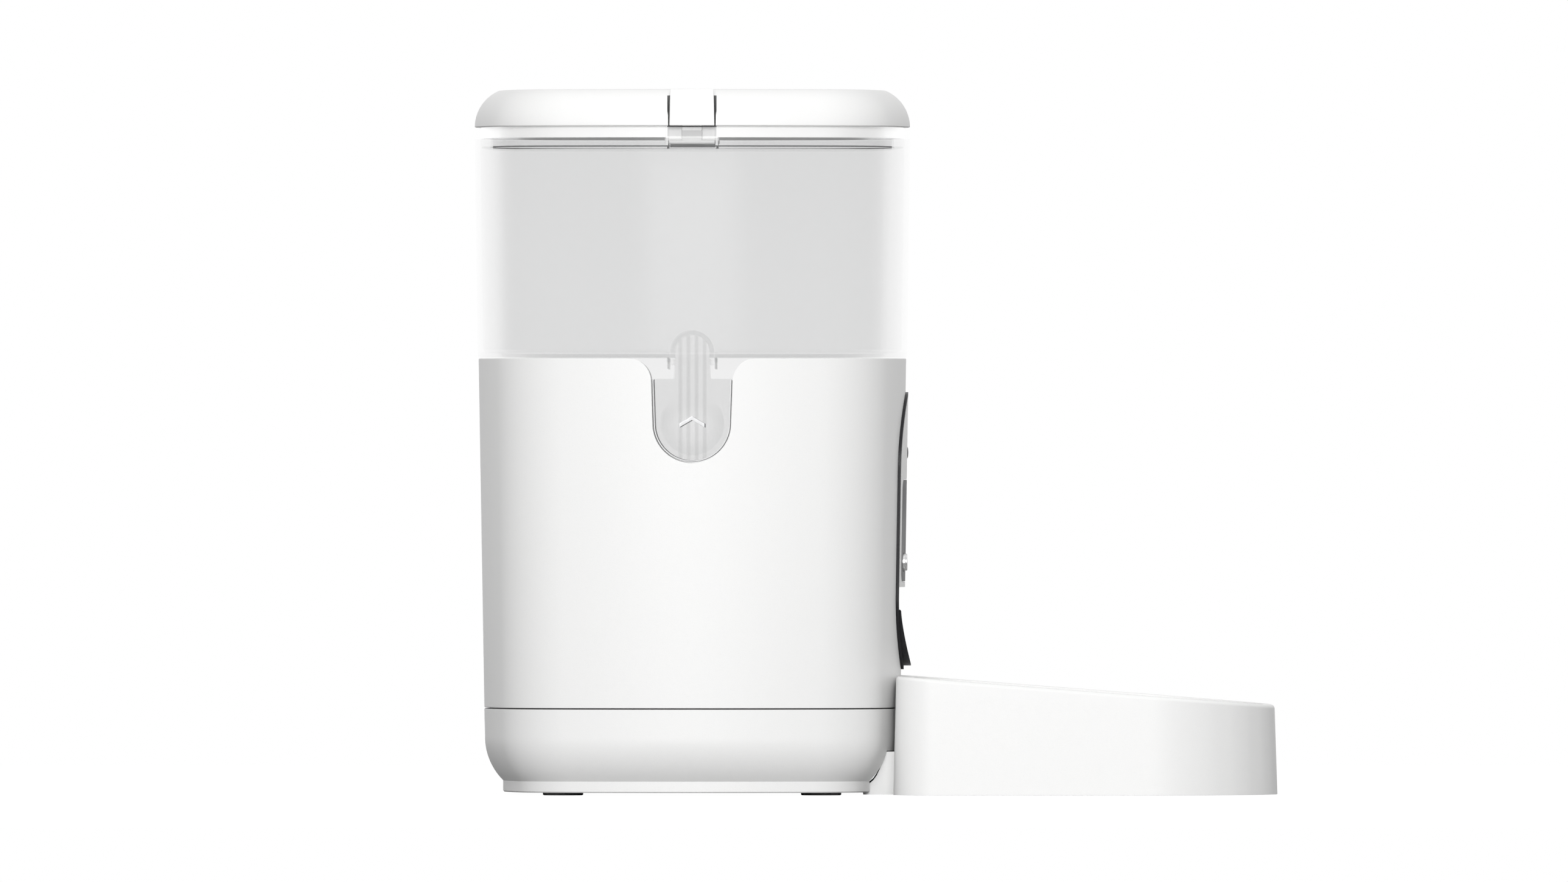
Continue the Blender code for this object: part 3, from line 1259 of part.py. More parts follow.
def make_release_tabs():
    """Press tabs that fill the housing's notches and rock on the hopper's ears."""
    centre_z = HOUSING_TOP - NOTCH_DEPTH + NOTCH_LOW_HALF
    shoulder_z = HOUSING_TOP - TAB_SHOULDER_DROP
    low_half = NOTCH_LOW_HALF - TAB_GAP
    rise = (shoulder_z - centre_z) / (HOUSING_TOP - NOTCH_TOP_FILLET - centre_z)
    top_half = low_half + (NOTCH_TOP_HALF - NOTCH_LOW_HALF) * rise
    pivot_z = HOUSING_TOP - TAB_PIVOT_DROP
    foot = arc((0, centre_z), low_half, math.pi, 2 * math.pi, ROUND_STEPS // 2)
    head = arc((0, neck_top_centre()), TAB_NECK_TOP_HALF, 0, math.pi, ROUND_STEPS // 2)
    outline = (
        foot + [(top_half, shoulder_z), (TAB_NECK_LOW_HALF, shoulder_z)] + head
        + [(-TAB_NECK_LOW_HALF, shoulder_z), (-top_half, shoulder_z)]
    )
    dimple_z = HOUSING_TOP - TAB_DIMPLE_DROP
    chevron_half = TAB_CHEVRON_WIDTH / 2
    chevron = [
        (-chevron_half, dimple_z - TAB_CHEVRON_RISE / 2), (0, dimple_z + TAB_CHEVRON_RISE / 2),
        (chevron_half, dimple_z - TAB_CHEVRON_RISE / 2),
        (chevron_half, dimple_z - TAB_CHEVRON_RISE / 2 + TAB_CHEVRON_STROKE),
        (0, dimple_z + TAB_CHEVRON_RISE / 2 + TAB_CHEVRON_STROKE),
        (-chevron_half, dimple_z - TAB_CHEVRON_RISE / 2 + TAB_CHEVRON_STROKE),
    ]
    rib_low = centre_z - low_half / 2
    for side, heading in (("left", 270), ("right", 90)):
        tab = flat_piece(f"release_tab_{side}", [outline], 0, TAB_THICKNESS, plane="XZ")
        for place in range(TAB_RIB_COUNT):
            x = (place - (TAB_RIB_COUNT - 1) / 2) * TAB_RIB_PITCH
            join(tab, block(
                f"tab_rib_{side}_{place}", (x - TAB_RIB_WIDTH / 2, TAB_THICKNESS / 2, rib_low),
                (x + TAB_RIB_WIDTH / 2, TAB_THICKNESS + TAB_RIB_DEPTH, neck_top_centre()),
            ))
        axle = TAB_THICKNESS / 2 + TAB_RIB_DEPTH / 2
        join(tab, rod(
            f"tab_axle_{side}", (-EAR_IN + SEAT_GAP, axle, pivot_z), (EAR_IN - SEAT_GAP, axle, pivot_z),
            TAB_PIVOT_RADIUS, steps=SMALL_ROUND_STEPS // 2,
        ))
        cut(tab, rod(
            f"tab_dimple_{side}", (0, TAB_DIMPLE_DEPTH, dimple_z), (0, -OVERRUN, dimple_z),
            TAB_DIMPLE_RADIUS - OVERRUN, TAB_DIMPLE_RADIUS + OVERRUN, steps=ROUND_STEPS,
        ))
        join(tab, flat_piece(
            f"tab_chevron_{side}", [chevron], TAB_DIMPLE_DEPTH - TAB_CHEVRON_HEIGHT,
            TAB_DIMPLE_DEPTH + TAB_CHEVRON_HEIGHT, plane="XZ",
        ))
        lay_on_wall(tab, heading, strip=NOTCH_LOW_HALF / 3)
        way = -1 if heading == 270 else 1
        finish(tab, "clear", pivot=(way * (wall_half(pivot_z) - axle), AXIS_Y, pivot_z))


# Lid, its latches, seal and desiccant holder


def make_lid():
    """Round-edged lid with a plug skirt, a seal rib, and a pocket and two ears for each latch."""
    centre = LID_HALF - LID_EDGE_RADIUS
    skirt = HOPPER_TOP_HALF - HOPPER_WALL - SKIRT_GAP
    rib = LID_HALF - SEAL_RIB_INSET
    skirt_low, rib_low = LID_LOW - SKIRT_DROP, LID_LOW - SEAL_RIB_DROP
    reach = LID_EDGE_RADIUS - LID_WALL

    def ceiling(half):
        return (half, LID_LOW + math.sqrt(reach ** 2 - (half - centre) ** 2))

    ceiling_half = centre + math.sqrt(reach ** 2 - (LID_HEIGHT - LID_WALL) ** 2)
    levels = [
        ceiling(ceiling_half), ceiling(rib - SEAL_RIB_WALL), (rib - SEAL_RIB_WALL, rib_low), (rib, rib_low),
        ceiling(rib), ceiling(skirt - SKIRT_WALL), (skirt - SKIRT_WALL, skirt_low), (skirt, skirt_low),
        (skirt, LID_LOW),
    ]
    sweep = math.asin(LID_HEIGHT / LID_EDGE_RADIUS)
    for step in range(LID_EDGE_STEPS + 1):
        turn = sweep * step / LID_EDGE_STEPS
        half = centre + LID_EDGE_RADIUS * math.cos(turn)
        levels.append((half, LID_LOW + LID_EDGE_RADIUS * math.sin(turn)))
    rings = [ring(plan_outline(half), z) for half, z in levels]
    lid = loft("lid_shell", rings, cap_first=True, cap_last=True)
    ear_in = LATCH_NOTCH_TOP_HALF
    ear_out = ear_in + LATCH_EAR_WIDTH
    back_half = ear_out + RUN_GAP
    ear_front = LID_HALF - skirt + SEAT_GAP
    for side, heading in (("left", 270), ("right", 90)):
        back = block(
            f"latch_back_{side}",
            (-back_half, -LID_HALF + LATCH_NOTCH_INSET - RUN_GAP, LID_LOW - SKIRT_DROP + SEAT_GAP),
            (
                back_half,
                -LID_HALF + LATCH_NOTCH_INSET + LATCH_BACK_WALL,
                LID_LOW + SKIRT_RISE + LATCH_BACK_WALL,
            ),
        )
        join(lid, turn_about_axis(back, heading))
        for way in (-1, 1):
            inner, outer = sorted((way * ear_in, way * ear_out))
            ear = block(
                f"latch_ear_{side}_{way}", (inner, -LID_HALF + ear_front, LID_LOW - LATCH_EAR_DROP),
                (outer, -LID_HALF + LATCH_NOTCH_INSET + LATCH_BACK_WALL / 2, LID_LOW + LID_WALL),
            )
            join(lid, turn_about_axis(ear, heading))
        notch_points = [
            (-LATCH_NOTCH_LOW_HALF, LID_LOW - LATCH_EAR_DROP - OVERRUN),
            (LATCH_NOTCH_LOW_HALF, LID_LOW - LATCH_EAR_DROP - OVERRUN),
            (LATCH_NOTCH_TOP_HALF, LID_TOP + OVERRUN), (-LATCH_NOTCH_TOP_HALF, LID_TOP + OVERRUN),
        ]
        notch = flat_piece(
            f"latch_notch_{side}", [notch_points],
            -LID_HALF - OVERRUN, -LID_HALF + LATCH_NOTCH_INSET, plane="XZ",
        )
        cut(lid, turn_about_axis(notch, heading))
    finish(lid, "white")

    seal_in = rib + SEAT_GAP
    seal_low = LID_LOW - SEAL_RIB_DROP - SEAL_THICKNESS - SEAT_GAP - SEAL_THICKNESS / 2
    lip = hopper_half(seal_low) - HOPPER_WALL - SEAL_LIP_GAP
    seal = plan_ring("lid_seal", [
        (lip, seal_low), (lip, seal_low + SEAL_THICKNESS),
        (seal_in + SEAL_THICKNESS, seal_low + SEAL_THICKNESS),
        (seal_in + SEAL_THICKNESS, seal_low + SEAL_HEIGHT),
        (seal_in, seal_low + SEAL_HEIGHT), (seal_in, seal_low),
    ])
    finish(seal, "silicone")


def make_latches():
    """Press clips at the lid's sides: a paddle above, a leg with a hook, and a cross bar they rock on."""
    pivot_y = -LID_HALF + LATCH_LEG_INSET + LATCH_LEG_THICKNESS / 2
    pivot_z = LID_LOW - LATCH_PIVOT_DROP
    paddle_low = LID_LOW + LATCH_TOP_PROUD
    paddle_top = LID_TOP + LATCH_TOP_PROUD
    outer_low = -LID_HALF + SEAT_GAP
    outer_top = outer_low + LATCH_TOP_LEAN
    leg_out = -LID_HALF + LATCH_LEG_INSET
    leg_in = leg_out + LATCH_LEG_THICKNESS
    middle_z = (paddle_low + paddle_top) / 2
    paddle_profile = [
        (outer_low, paddle_low), (leg_in, paddle_low), (outer_top + LATCH_TOP_THICKNESS, paddle_top),
        (outer_top, paddle_top), (outer_low, middle_z),
    ]
    hook_reach = -(HOPPER_TOP_HALF - HOPPER_WALL) + SKIRT_GAP
    hook_top = LID_LOW - LATCH_HOOK_DROP + LATCH_HOOK_HEIGHT
    leg_profile = [
        (leg_out, pivot_z), (leg_in, pivot_z),
        (leg_in, paddle_low + SHELL_WALL), (leg_out, paddle_low + SHELL_WALL),
        (leg_out, hook_top), (hook_reach, hook_top), (leg_out, hook_top - LATCH_HOOK_HEIGHT),
    ]
    for side, heading in (("left", 270), ("right", 90)):
        latch = flat_piece(
            f"lid_latch_{side}", [paddle_profile], -LATCH_LOW_HALF, LATCH_LOW_HALF, plane="YZ",
        )
        for vert in latch.data.vertices:
            share = (vert.co.z - paddle_low) / (paddle_top - paddle_low)
            vert.co.x *= 1 + (LATCH_TOP_HALF / LATCH_LOW_HALF - 1) * share
        join(latch, flat_piece(
            f"latch_leg_{side}", [leg_profile], -LATCH_LEG_HALF, LATCH_LEG_HALF, plane="YZ",
        ))
        bar = LATCH_NOTCH_TOP_HALF - RUN_GAP
        join(latch, rod(
            f"latch_bar_{side}", (-bar, pivot_y, pivot_z), (bar, pivot_y, pivot_z), LATCH_BAR_RADIUS,
            steps=SMALL_ROUND_STEPS // 2,
        ))
        turn_about_axis(latch, heading)
        way = -1 if heading == 270 else 1
        finish(latch, "white", pivot=(-way * pivot_y, AXIS_Y, pivot_z))


def make_desiccant_holder():
    """Round box under the middle of the lid and its slotted twist cover."""
    top = LID_TOP - LID_WALL - SEAT_GAP
    low = top - HOLDER_DEPTH
    inner = HOLDER_RADIUS - HOLDER_WALL
    box = lathe("desiccant_box", [
        (0, top), (HOLDER_RADIUS, top), (HOLDER_RADIUS, low), (inner, low), (inner, top - HOLDER_WALL),
        (0, top - HOLDER_WALL),
    ], about_axis(0, 0, 0), steps=ROUND_STEPS)
    finish(box, "white")

    plug = inner - RUN_GAP
    cover_top = low - SEAT_GAP
    cover = lathe("desiccant_cover", [
        (0, cover_top), (plug - HOLDER_WALL, cover_top), (plug - HOLDER_WALL, cover_top + HOLDER_TAB_HEIGHT),
        (plug, cover_top + HOLDER_TAB_HEIGHT), (plug, cover_top), (HOLDER_RADIUS, cover_top),
        (HOLDER_RADIUS, cover_top - HOLDER_WALL), (0, cover_top - HOLDER_WALL),
    ], about_axis(0, 0, 0), steps=ROUND_STEPS)
    grip = block(
        "cover_grip",
        about_axis(
            -HOLDER_GRIP_LENGTH / 2, -HOLDER_GRIP_WIDTH / 2,
            cover_top - HOLDER_WALL - HOLDER_GRIP_HEIGHT,
        ),
        about_axis(HOLDER_GRIP_LENGTH / 2, HOLDER_GRIP_WIDTH / 2, cover_top - HOLDER_WALL / 2),
    )
    join(cover, grip)
    middle = (inner + HOLDER_GRIP_LENGTH / 2) / 2
    half = HOLDER_SLOT_LENGTH / 2
    for place in range(HOLDER_SLOTS):
        slot = block(
            f"cover_slot_{place}",
            (middle - half, -HOLDER_SLOT_WIDTH / 2, cover_top - HOLDER_WALL - OVERRUN),
            (middle + half, HOLDER_SLOT_WIDTH / 2, cover_top + OVERRUN),
        )
        spin = Matrix.Rotation(2 * math.pi * (place + 1 / 2) / HOLDER_SLOTS, 4, "Z")
        slot.data.transform(Matrix.Translation((0, AXIS_Y, 0)) @ spin)
        cut(cover, slot)
    finish(cover, "white", pivot=about_axis(0, 0, cover_top))


# Bowl tray and food bowl


def tray_outline(inset):
    """Plan of the tray drawn in by an inset: rounded corners, a bowed front and a back by the body.

    The outside follows the body's bowed front. From the inner edge of the rim inwards the back is straight.
    """
    half = TRAY_HALF_WIDTH - inset
    rear_corner = max(TRAY_REAR_CORNER - inset, TRAY_REAR_CORNER / 4)
    front_corner = TRAY_FRONT_CORNER - inset
    back_half = half - rear_corner
    back_middle = -wall_half(TRAY_REAR_HEIGHT) - TRAY_BODY_GAP - inset
    hollow = inset < TRAY_RIM_WIDTH
    back = -TRAY_REAR - inset if hollow else back_middle
    points = []
    for step in range(2 * SIDE_STEPS + 1):
        x = back_half * (1 - step / SIDE_STEPS)
        points.append((x, min(back, back_middle + side_fall(x)) if hollow else back))
    rear_centre = (-back_half, back - rear_corner)
    points += arc(rear_centre, rear_corner, math.pi / 2, math.pi, FILLET_STEPS)[1:]
    corner_y = -TRAY_REACH + TRAY_FLARE_SHARE * TRAY_FRONT_HEIGHT + inset + TRAY_FRONT_BOW + front_corner
    inner_x = half - front_corner
    bend = arc((-inner_x, corner_y), front_corner, math.pi, 3 * math.pi / 2, TRAY_CORNER_STEPS)
    bend.append((0, corner_y - front_corner))
    bend += arc((inner_x, corner_y), front_corner, 3 * math.pi / 2, 2 * math.pi, TRAY_CORNER_STEPS)
    for x, y in bend:
        points.append((x, y - TRAY_FRONT_BOW * (1 - (x / half) ** 2) * (corner_y - y) / front_corner))
    points += arc((back_half, back - rear_corner), rear_corner, 0, math.pi / 2, FILLET_STEPS)[:-1]
    return points


def rim_level(y):
    """Height of the tray's rim, which slopes down from the back to the front."""
    front = -TRAY_REACH
    return TRAY_FRONT_HEIGHT + (TRAY_REAR_HEIGHT - TRAY_FRONT_HEIGHT) * (y - front) / (-TRAY_REAR - front)


def sloped_ring(inset, drop):
    """Ring drawn in from the tray's rim and lowered from its sloping plane."""
    return [Vector((x, y + AXIS_Y, rim_level(y) - drop)) for x, y in tray_outline(inset)]


def level_ring(inset, z):
    return ring(tray_outline(inset), z)


def make_tray():
    """Tray with a flared skirt, a sloping rim, a ledge for the bowl and a tongue under the base."""
    flare = TRAY_FLARE_SHARE * TRAY_FRONT_HEIGHT
    well = TRAY_RIM_WIDTH + TRAY_LEDGE_WIDTH
    soft = TRAY_RIM_ROUND * (1 - math.sqrt(1 / 2))
    rings = [
        level_ring(-flare, TONGUE_LIFT), sloped_ring(0, TRAY_RIM_ROUND), sloped_ring(soft, soft),
        sloped_ring(TRAY_RIM_ROUND, 0), sloped_ring(TRAY_RIM_WIDTH, 0),
        sloped_ring(TRAY_RIM_WIDTH, TRAY_LEDGE_DROP), sloped_ring(well, TRAY_LEDGE_DROP),
        level_ring(well, TRAY_FLOOR_RISE),
    ]
    tray = thicken(loft("bowl_tray", rings, cap_last=True), TRAY_WALL)
    plinth = BASE_EDGE_RADIUS * (1 - math.cos(BASE_EDGE_SWEEP))
    root = -wall_half(TRAY_REAR_HEIGHT) - TRAY_WALL
    low = TONGUE_LIFT
    plate = low + TONGUE_PLATE
    body = wall_half(TONGUE_HEIGHT)
    tongue = [
        (root, low), (-TONGUE_BACK, low), (-TONGUE_BACK, plate), (-body + plinth + 2 * RUN_GAP, plate),
        (-body + plinth * 3 / 4, TONGUE_HEIGHT / 4), (-body + plinth / 2, TONGUE_HEIGHT / 2),
        (-body + plinth / 2 - RUN_GAP, TONGUE_HEIGHT), (root, TONGUE_HEIGHT),
    ]
    outline = [(y + AXIS_Y, z) for y, z in tongue]
    join(tray, flat_piece("tray_tongue", [outline], -TONGUE_HALF_WIDTH, TONGUE_HALF_WIDTH, plane="YZ"))
    finish(tray, "white", pivot=(0, AXIS_Y - TRAY_REAR, 0))


def make_bowl():
    """Pressed steel bowl whose flange lies on the tray's ledge."""
    edge = TRAY_RIM_WIDTH + BOWL_FLANGE_GAP
    well = TRAY_RIM_WIDTH + TRAY_LEDGE_WIDTH + BOWL_SIDE_GAP
    level = TRAY_LEDGE_DROP - SEAT_GAP - BOWL_SHEET
    floor = TRAY_FLOOR_RISE + SEAT_GAP + BOWL_SHEET
    side = well + BOWL_SIDE_TAPER
    rings = [sloped_ring(edge, level)]
    rings += [sloped_ring(well, level), sloped_ring(well + BOWL_LIP_ROUND / 2, level + BOWL_LIP_ROUND)]
    for step in range(3):
        turn = math.pi / 4 * step
        reach = BOWL_FLOOR_ROUND * (1 - math.cos(turn))
        rings.append(level_ring(side + reach, floor + BOWL_FLOOR_ROUND * (1 - math.sin(turn))))
    bowl = thicken(loft("food_bowl", rings, cap_last=True), BOWL_SHEET)
    finish(bowl, "steel", pivot=(0, AXIS_Y - (TRAY_REAR + TRAY_REACH) / 2, floor))


CARRIERS = {
    "output_shaft": "dispensing_rotor",
    "release_tab_left": "food_hopper",
    "release_tab_right": "food_hopper",
    "lid_shell": "food_hopper",
    "lid_seal": "lid_shell",
    "desiccant_box": "lid_shell",
    "desiccant_cover": "lid_shell",
    "lid_latch_left": "lid_shell",
    "lid_latch_right": "lid_shell",
    "food_bowl": "bowl_tray",
}


def hang_on_carriers():
    """Parent each piece that rides on a moving piece to it, without moving either."""
    bpy.context.view_layer.update()
    for name, carrier in CARRIERS.items():
        piece, parent = bpy.data.objects[name], bpy.data.objects[carrier]
        piece.parent = parent
        piece.matrix_parent_inverse = parent.matrix_world.inverted()


make_base()
make_feet()
make_battery_bay()
make_inlet()
make_housing()
make_chassis()
make_drive()
make_chute()
make_spout()
make_bezel()
make_plate()
make_buttons()
make_board()
make_hopper()
make_release_tabs()
make_lid()
make_latches()
make_desiccant_holder()
make_tray()
make_bowl()
hang_on_carriers()
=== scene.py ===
import json
import math

import bpy
from bpy.props import FloatProperty, FloatVectorProperty, IntProperty, PointerProperty
from mathutils import Matrix, Vector

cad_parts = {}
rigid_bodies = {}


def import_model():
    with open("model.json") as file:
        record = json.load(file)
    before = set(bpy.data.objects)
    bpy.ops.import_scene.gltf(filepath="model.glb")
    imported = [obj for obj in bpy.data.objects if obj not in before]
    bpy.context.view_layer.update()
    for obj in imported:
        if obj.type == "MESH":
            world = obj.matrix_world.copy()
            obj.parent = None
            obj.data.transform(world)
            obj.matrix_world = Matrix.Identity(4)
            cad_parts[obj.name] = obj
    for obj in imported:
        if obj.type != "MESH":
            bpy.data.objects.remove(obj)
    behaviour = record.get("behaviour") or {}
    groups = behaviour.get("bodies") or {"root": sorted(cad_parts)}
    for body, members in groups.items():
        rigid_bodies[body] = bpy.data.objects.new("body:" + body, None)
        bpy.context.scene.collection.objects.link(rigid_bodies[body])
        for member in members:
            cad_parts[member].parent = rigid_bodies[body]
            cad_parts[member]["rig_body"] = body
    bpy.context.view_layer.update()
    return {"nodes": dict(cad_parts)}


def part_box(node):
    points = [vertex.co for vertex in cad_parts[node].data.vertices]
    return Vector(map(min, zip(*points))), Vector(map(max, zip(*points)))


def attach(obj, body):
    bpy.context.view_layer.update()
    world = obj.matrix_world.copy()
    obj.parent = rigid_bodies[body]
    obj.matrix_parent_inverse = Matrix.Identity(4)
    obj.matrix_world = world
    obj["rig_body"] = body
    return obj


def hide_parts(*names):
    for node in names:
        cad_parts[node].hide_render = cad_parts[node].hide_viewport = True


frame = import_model()

bl_info = {
    "name": "Pet Feeder Dressing",
    "version": (1, 0, 0),
    "blender": (4, 5, 0),
    "location": "View3D > Sidebar > Feeder",
    "description": "Models the visible shells of a smart pet feeder round its packed CAD solids",
    "category": "Object",
}

MERGE = 0.0000005
SEAT_GAP = 0.0003
RUN_GAP = 0.0004
OVERRUN = 0.001
THROUGH = (-0.004, 0.006)
BEND_STRIP = 0.003
SMOOTH_ANGLE = math.radians(32)
PIXEL = 0.000266
BLACK = (0.0, 0.0, 0.0, 1.0)
WHITE = (1.0, 1.0, 1.0, 1.0)
SIDES = (("left", 270), ("right", 90))


def length(name, default, description):
    return FloatProperty(
        name=name, description=description, default=default, unit="LENGTH", subtype="DISTANCE", precision=5,
    )


def paint(name, default, description):
    return FloatVectorProperty(
        name=name, description=description, default=default, size=3, subtype="COLOR", min=0.0, max=1.0,
    )


def level(node, top):
    """Lowest or highest level of a CAD node."""
    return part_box(node)[1 if top else 0].z


class PlanSizes(bpy.types.PropertyGroup):
    """Plan and levels of the stacked shells."""
    axis: length(
        "Body axis", sum(corner.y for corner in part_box("lid_shell")) / 2, "Place of the upright axis along Y",
    )
    half: length("Half width", 0.0934, "Half-width of the housing at its top edge")
    slope: FloatProperty(name="Wall slope", description="Draft of the housing's wall", default=0.0164)
    side: length("Side radius", 0.2000, "Radius of the bowed sides")
    corner: length("Corner radius", 0.0420, "Radius of the upright corners")
    bin_low_half: length("Bin foot half width", 0.0938, "Half-width of the food bin at its foot")
    bin_top_half: length("Bin top half width", 0.0952, "Half-width of the food bin at its rim")
    lid_half: length("Lid half width", 0.0951, "Half-width of the lid at its lower edge")
    base_low: length("Base foot", level("base_shell", False), "Level of the underside of the base")
    base_top: length("Base top", 0.0376, "Level of the parting line's lower edge")
    housing_low: length("Housing foot", level("main_housing", False), "Level of the parting line's upper edge")
    housing_top: length("Housing top", level("main_housing", True), "Level of the housing's top edge")
    bin_low: length("Bin foot", level("main_housing", True) + 0.0003, "Level of the bin's lower edge")
    bin_top: length("Bin top", level("food_hopper", True), "Level of the bin's rim")
    lid_low: length("Lid foot", level("food_hopper", True) + 0.0003, "Level of the lid's lower edge")
    lid_top: length("Lid top", level("lid_shell", True), "Level of the lid's flat top")
    wall: length("Shell wall", 0.0025, "Thickness of the moulded shells")
    soft_edge: length("Soft edge", 0.0004, "Radius of the housing's upper and lower edges")
    grille_rise: length("Grille rise", 0.0400, "Rise of the grille's middle above the parting line")
    slot_pitch: length("Slot pitch", 0.0052, "Distance between the grille's slots")
    slot_half: length("Slot half width", 0.0011, "Half-width of a grille slot")
    slot_reach: length("Slot reach", 0.0100, "Half the height of a grille slot")
    side_steps: IntProperty(name="Side points", description="Points along half a side", default=20, min=4)
    corner_steps: IntProperty(name="Corner points", description="Points round a corner", default=20, min=4)


class BaseSizes(bpy.types.PropertyGroup):
    """Rounded foot of the body."""
    edge: length("Edge radius", 0.0273, "Radius of the rounded lower edge")
    sweep: FloatProperty(
        name="Edge sweep", description="Angle of the rounded edge", default=math.radians(45), subtype="ANGLE",
    )
    plinth: length("Plinth", 0.0049, "Height of the upright plinth")
    lap: length("Lap height", 0.0035, "Height of the lap rim inside the housing")
    lap_wall: length("Lap wall", 0.0014, "Thickness of the lap rim")
    post: length("Post place", 0.0562, "Distance of the screw posts and feet from the middle")
    post_radius: length("Post radius", 0.0045, "Radius of the screw posts")
    foot_radius: length("Foot radius", 0.0088, "Radius of the rubber feet")
    foot_sink: length("Foot sink", 0.0010, "Depth of the pocket that holds a foot")
    recess_half: length("Recess half width", 0.0450, "Half-width of the recess for the tray's tongue")
    recess_top: length("Recess top", 0.0193, "Level of the ceiling of the tongue's recess")
    recess_back: length("Recess back", 0.0736, "Distance of the recess's back from the body's axis")
    recess_wall: length("Recess wall", 0.0020, "Thickness of the recess's walls")
    sleeve_wall: length("Sleeve wall", 0.0018, "Thickness of the sleeve round the inlet recess")
    deck: length("Deck wall", 0.0024, "Thickness of the chassis deck on the screw posts")
    inlet_level: length("Inlet level", 0.0265, "Level of the power inlet")
    inlet_radius: length("Inlet radius", 0.0070, "Radius of the round inlet recess")
    inlet_depth: length("Inlet depth", 0.0065, "Depth of the inlet recess")


class NotchSizes(bpy.types.PropertyGroup):
    """Side notches and the clear press tabs in them."""
    top_half: length("Notch top half", 0.0178, "Half-width of the notch above")
    low_half: length("Notch low half", 0.0172, "Half-width of the notch's round foot")
    depth: length("Notch depth", 0.0456, "Depth of the notch below the housing's top")
    fillet: length("Notch fillet", 0.0100, "Radius of the flared top corners")
    gap: length("Tab gap", 0.0004, "Gap round the tab")
    thickness: length("Tab thickness", 0.0020, "Thickness of the tab")
    shoulder: length("Shoulder drop", 0.0089, "Drop of the tab's shoulders below the housing's top")
    neck_top: length("Neck top half", 0.0075, "Half-width of the tab's neck at its arch")
    neck_low: length("Neck low half", 0.0080, "Half-width of the tab's neck at its shoulders")
    neck_rise: length("Neck rise", 0.0100, "Rise of the arch above the foot of the bin")
    corner: length("Shoulder round", 0.0008, "Radius of the tab's shoulders")
    axle: length("Axle radius", 0.0012, "Radius of the tab's axle")
    pivot: length("Pivot drop", 0.0016, "Drop of the tab's pivot below the housing's top")
    ribs: IntProperty(name="Ribs", description="Upright ribs behind a tab", default=4, min=0)
    rib_pitch: length("Rib pitch", 0.00354, "Distance between the ribs")
    rib_width: length("Rib width", 0.0015, "Width of a rib")
    rib_depth: length("Rib depth", 0.0008, "Depth of a rib")
    rib_foot: length("Rib foot", 0.0012, "Gap between a rib's foot and the tab's edge")
    dimple: length("Dimple radius", 0.01385, "Radius of the thumb dimple")
    dimple_drop: length("Dimple drop", 0.0284, "Drop of the dimple's middle below the housing's top")
    dimple_depth: length("Dimple depth", 0.0006, "Depth of the thumb dimple")
    chevron: length("Chevron width", 0.0110, "Width of the raised chevron")
    chevron_rise: length("Chevron rise", 0.0032, "Rise of the chevron")
    chevron_stroke: length("Chevron stroke", 0.0014, "Width of the chevron's stroke")


class BinSizes(bpy.types.PropertyGroup):
    """Clear food bin with its funnel."""
    wall: length("Bin wall", 0.0024, "Thickness of the bin's wall")
    band: length("Pocket band", 0.00195, "Width of the gap band round a tab's neck")
    pocket: length("Pocket depth", 0.0034, "Depth of the neck pocket behind the wall's face")
    backing: length("Pocket back", 0.0018, "Thickness of the wall behind the neck pocket")
    ear: length("Ear place", 0.0099, "Distance of the pivot ears from the tab's middle")
    ear_width: length("Ear width", 0.0009, "Thickness of a pivot ear")
    ear_drop: length("Ear drop", 0.0049, "Drop of a pivot ear below the bin")
    funnel_inset: length("Funnel inset", 0.0082, "How far the funnel stands in from the bin's foot")
    mouth: length("Mouth radius", 0.0404, "Radius of the funnel's mouth")
    mouth_low: length("Mouth level", level("food_hopper", False), "Level of the funnel's mouth")
    window_half: length("Window half width", 0.0100, "Half-width of a latch window")
    window_drop: length("Window drop", 0.0014, "Drop of a latch window below the rim")
    window_height: length("Window height", 0.0031, "Height of a latch window")
    edge: length("Edge round", 0.0008, "Radius of the bin's lower edge")


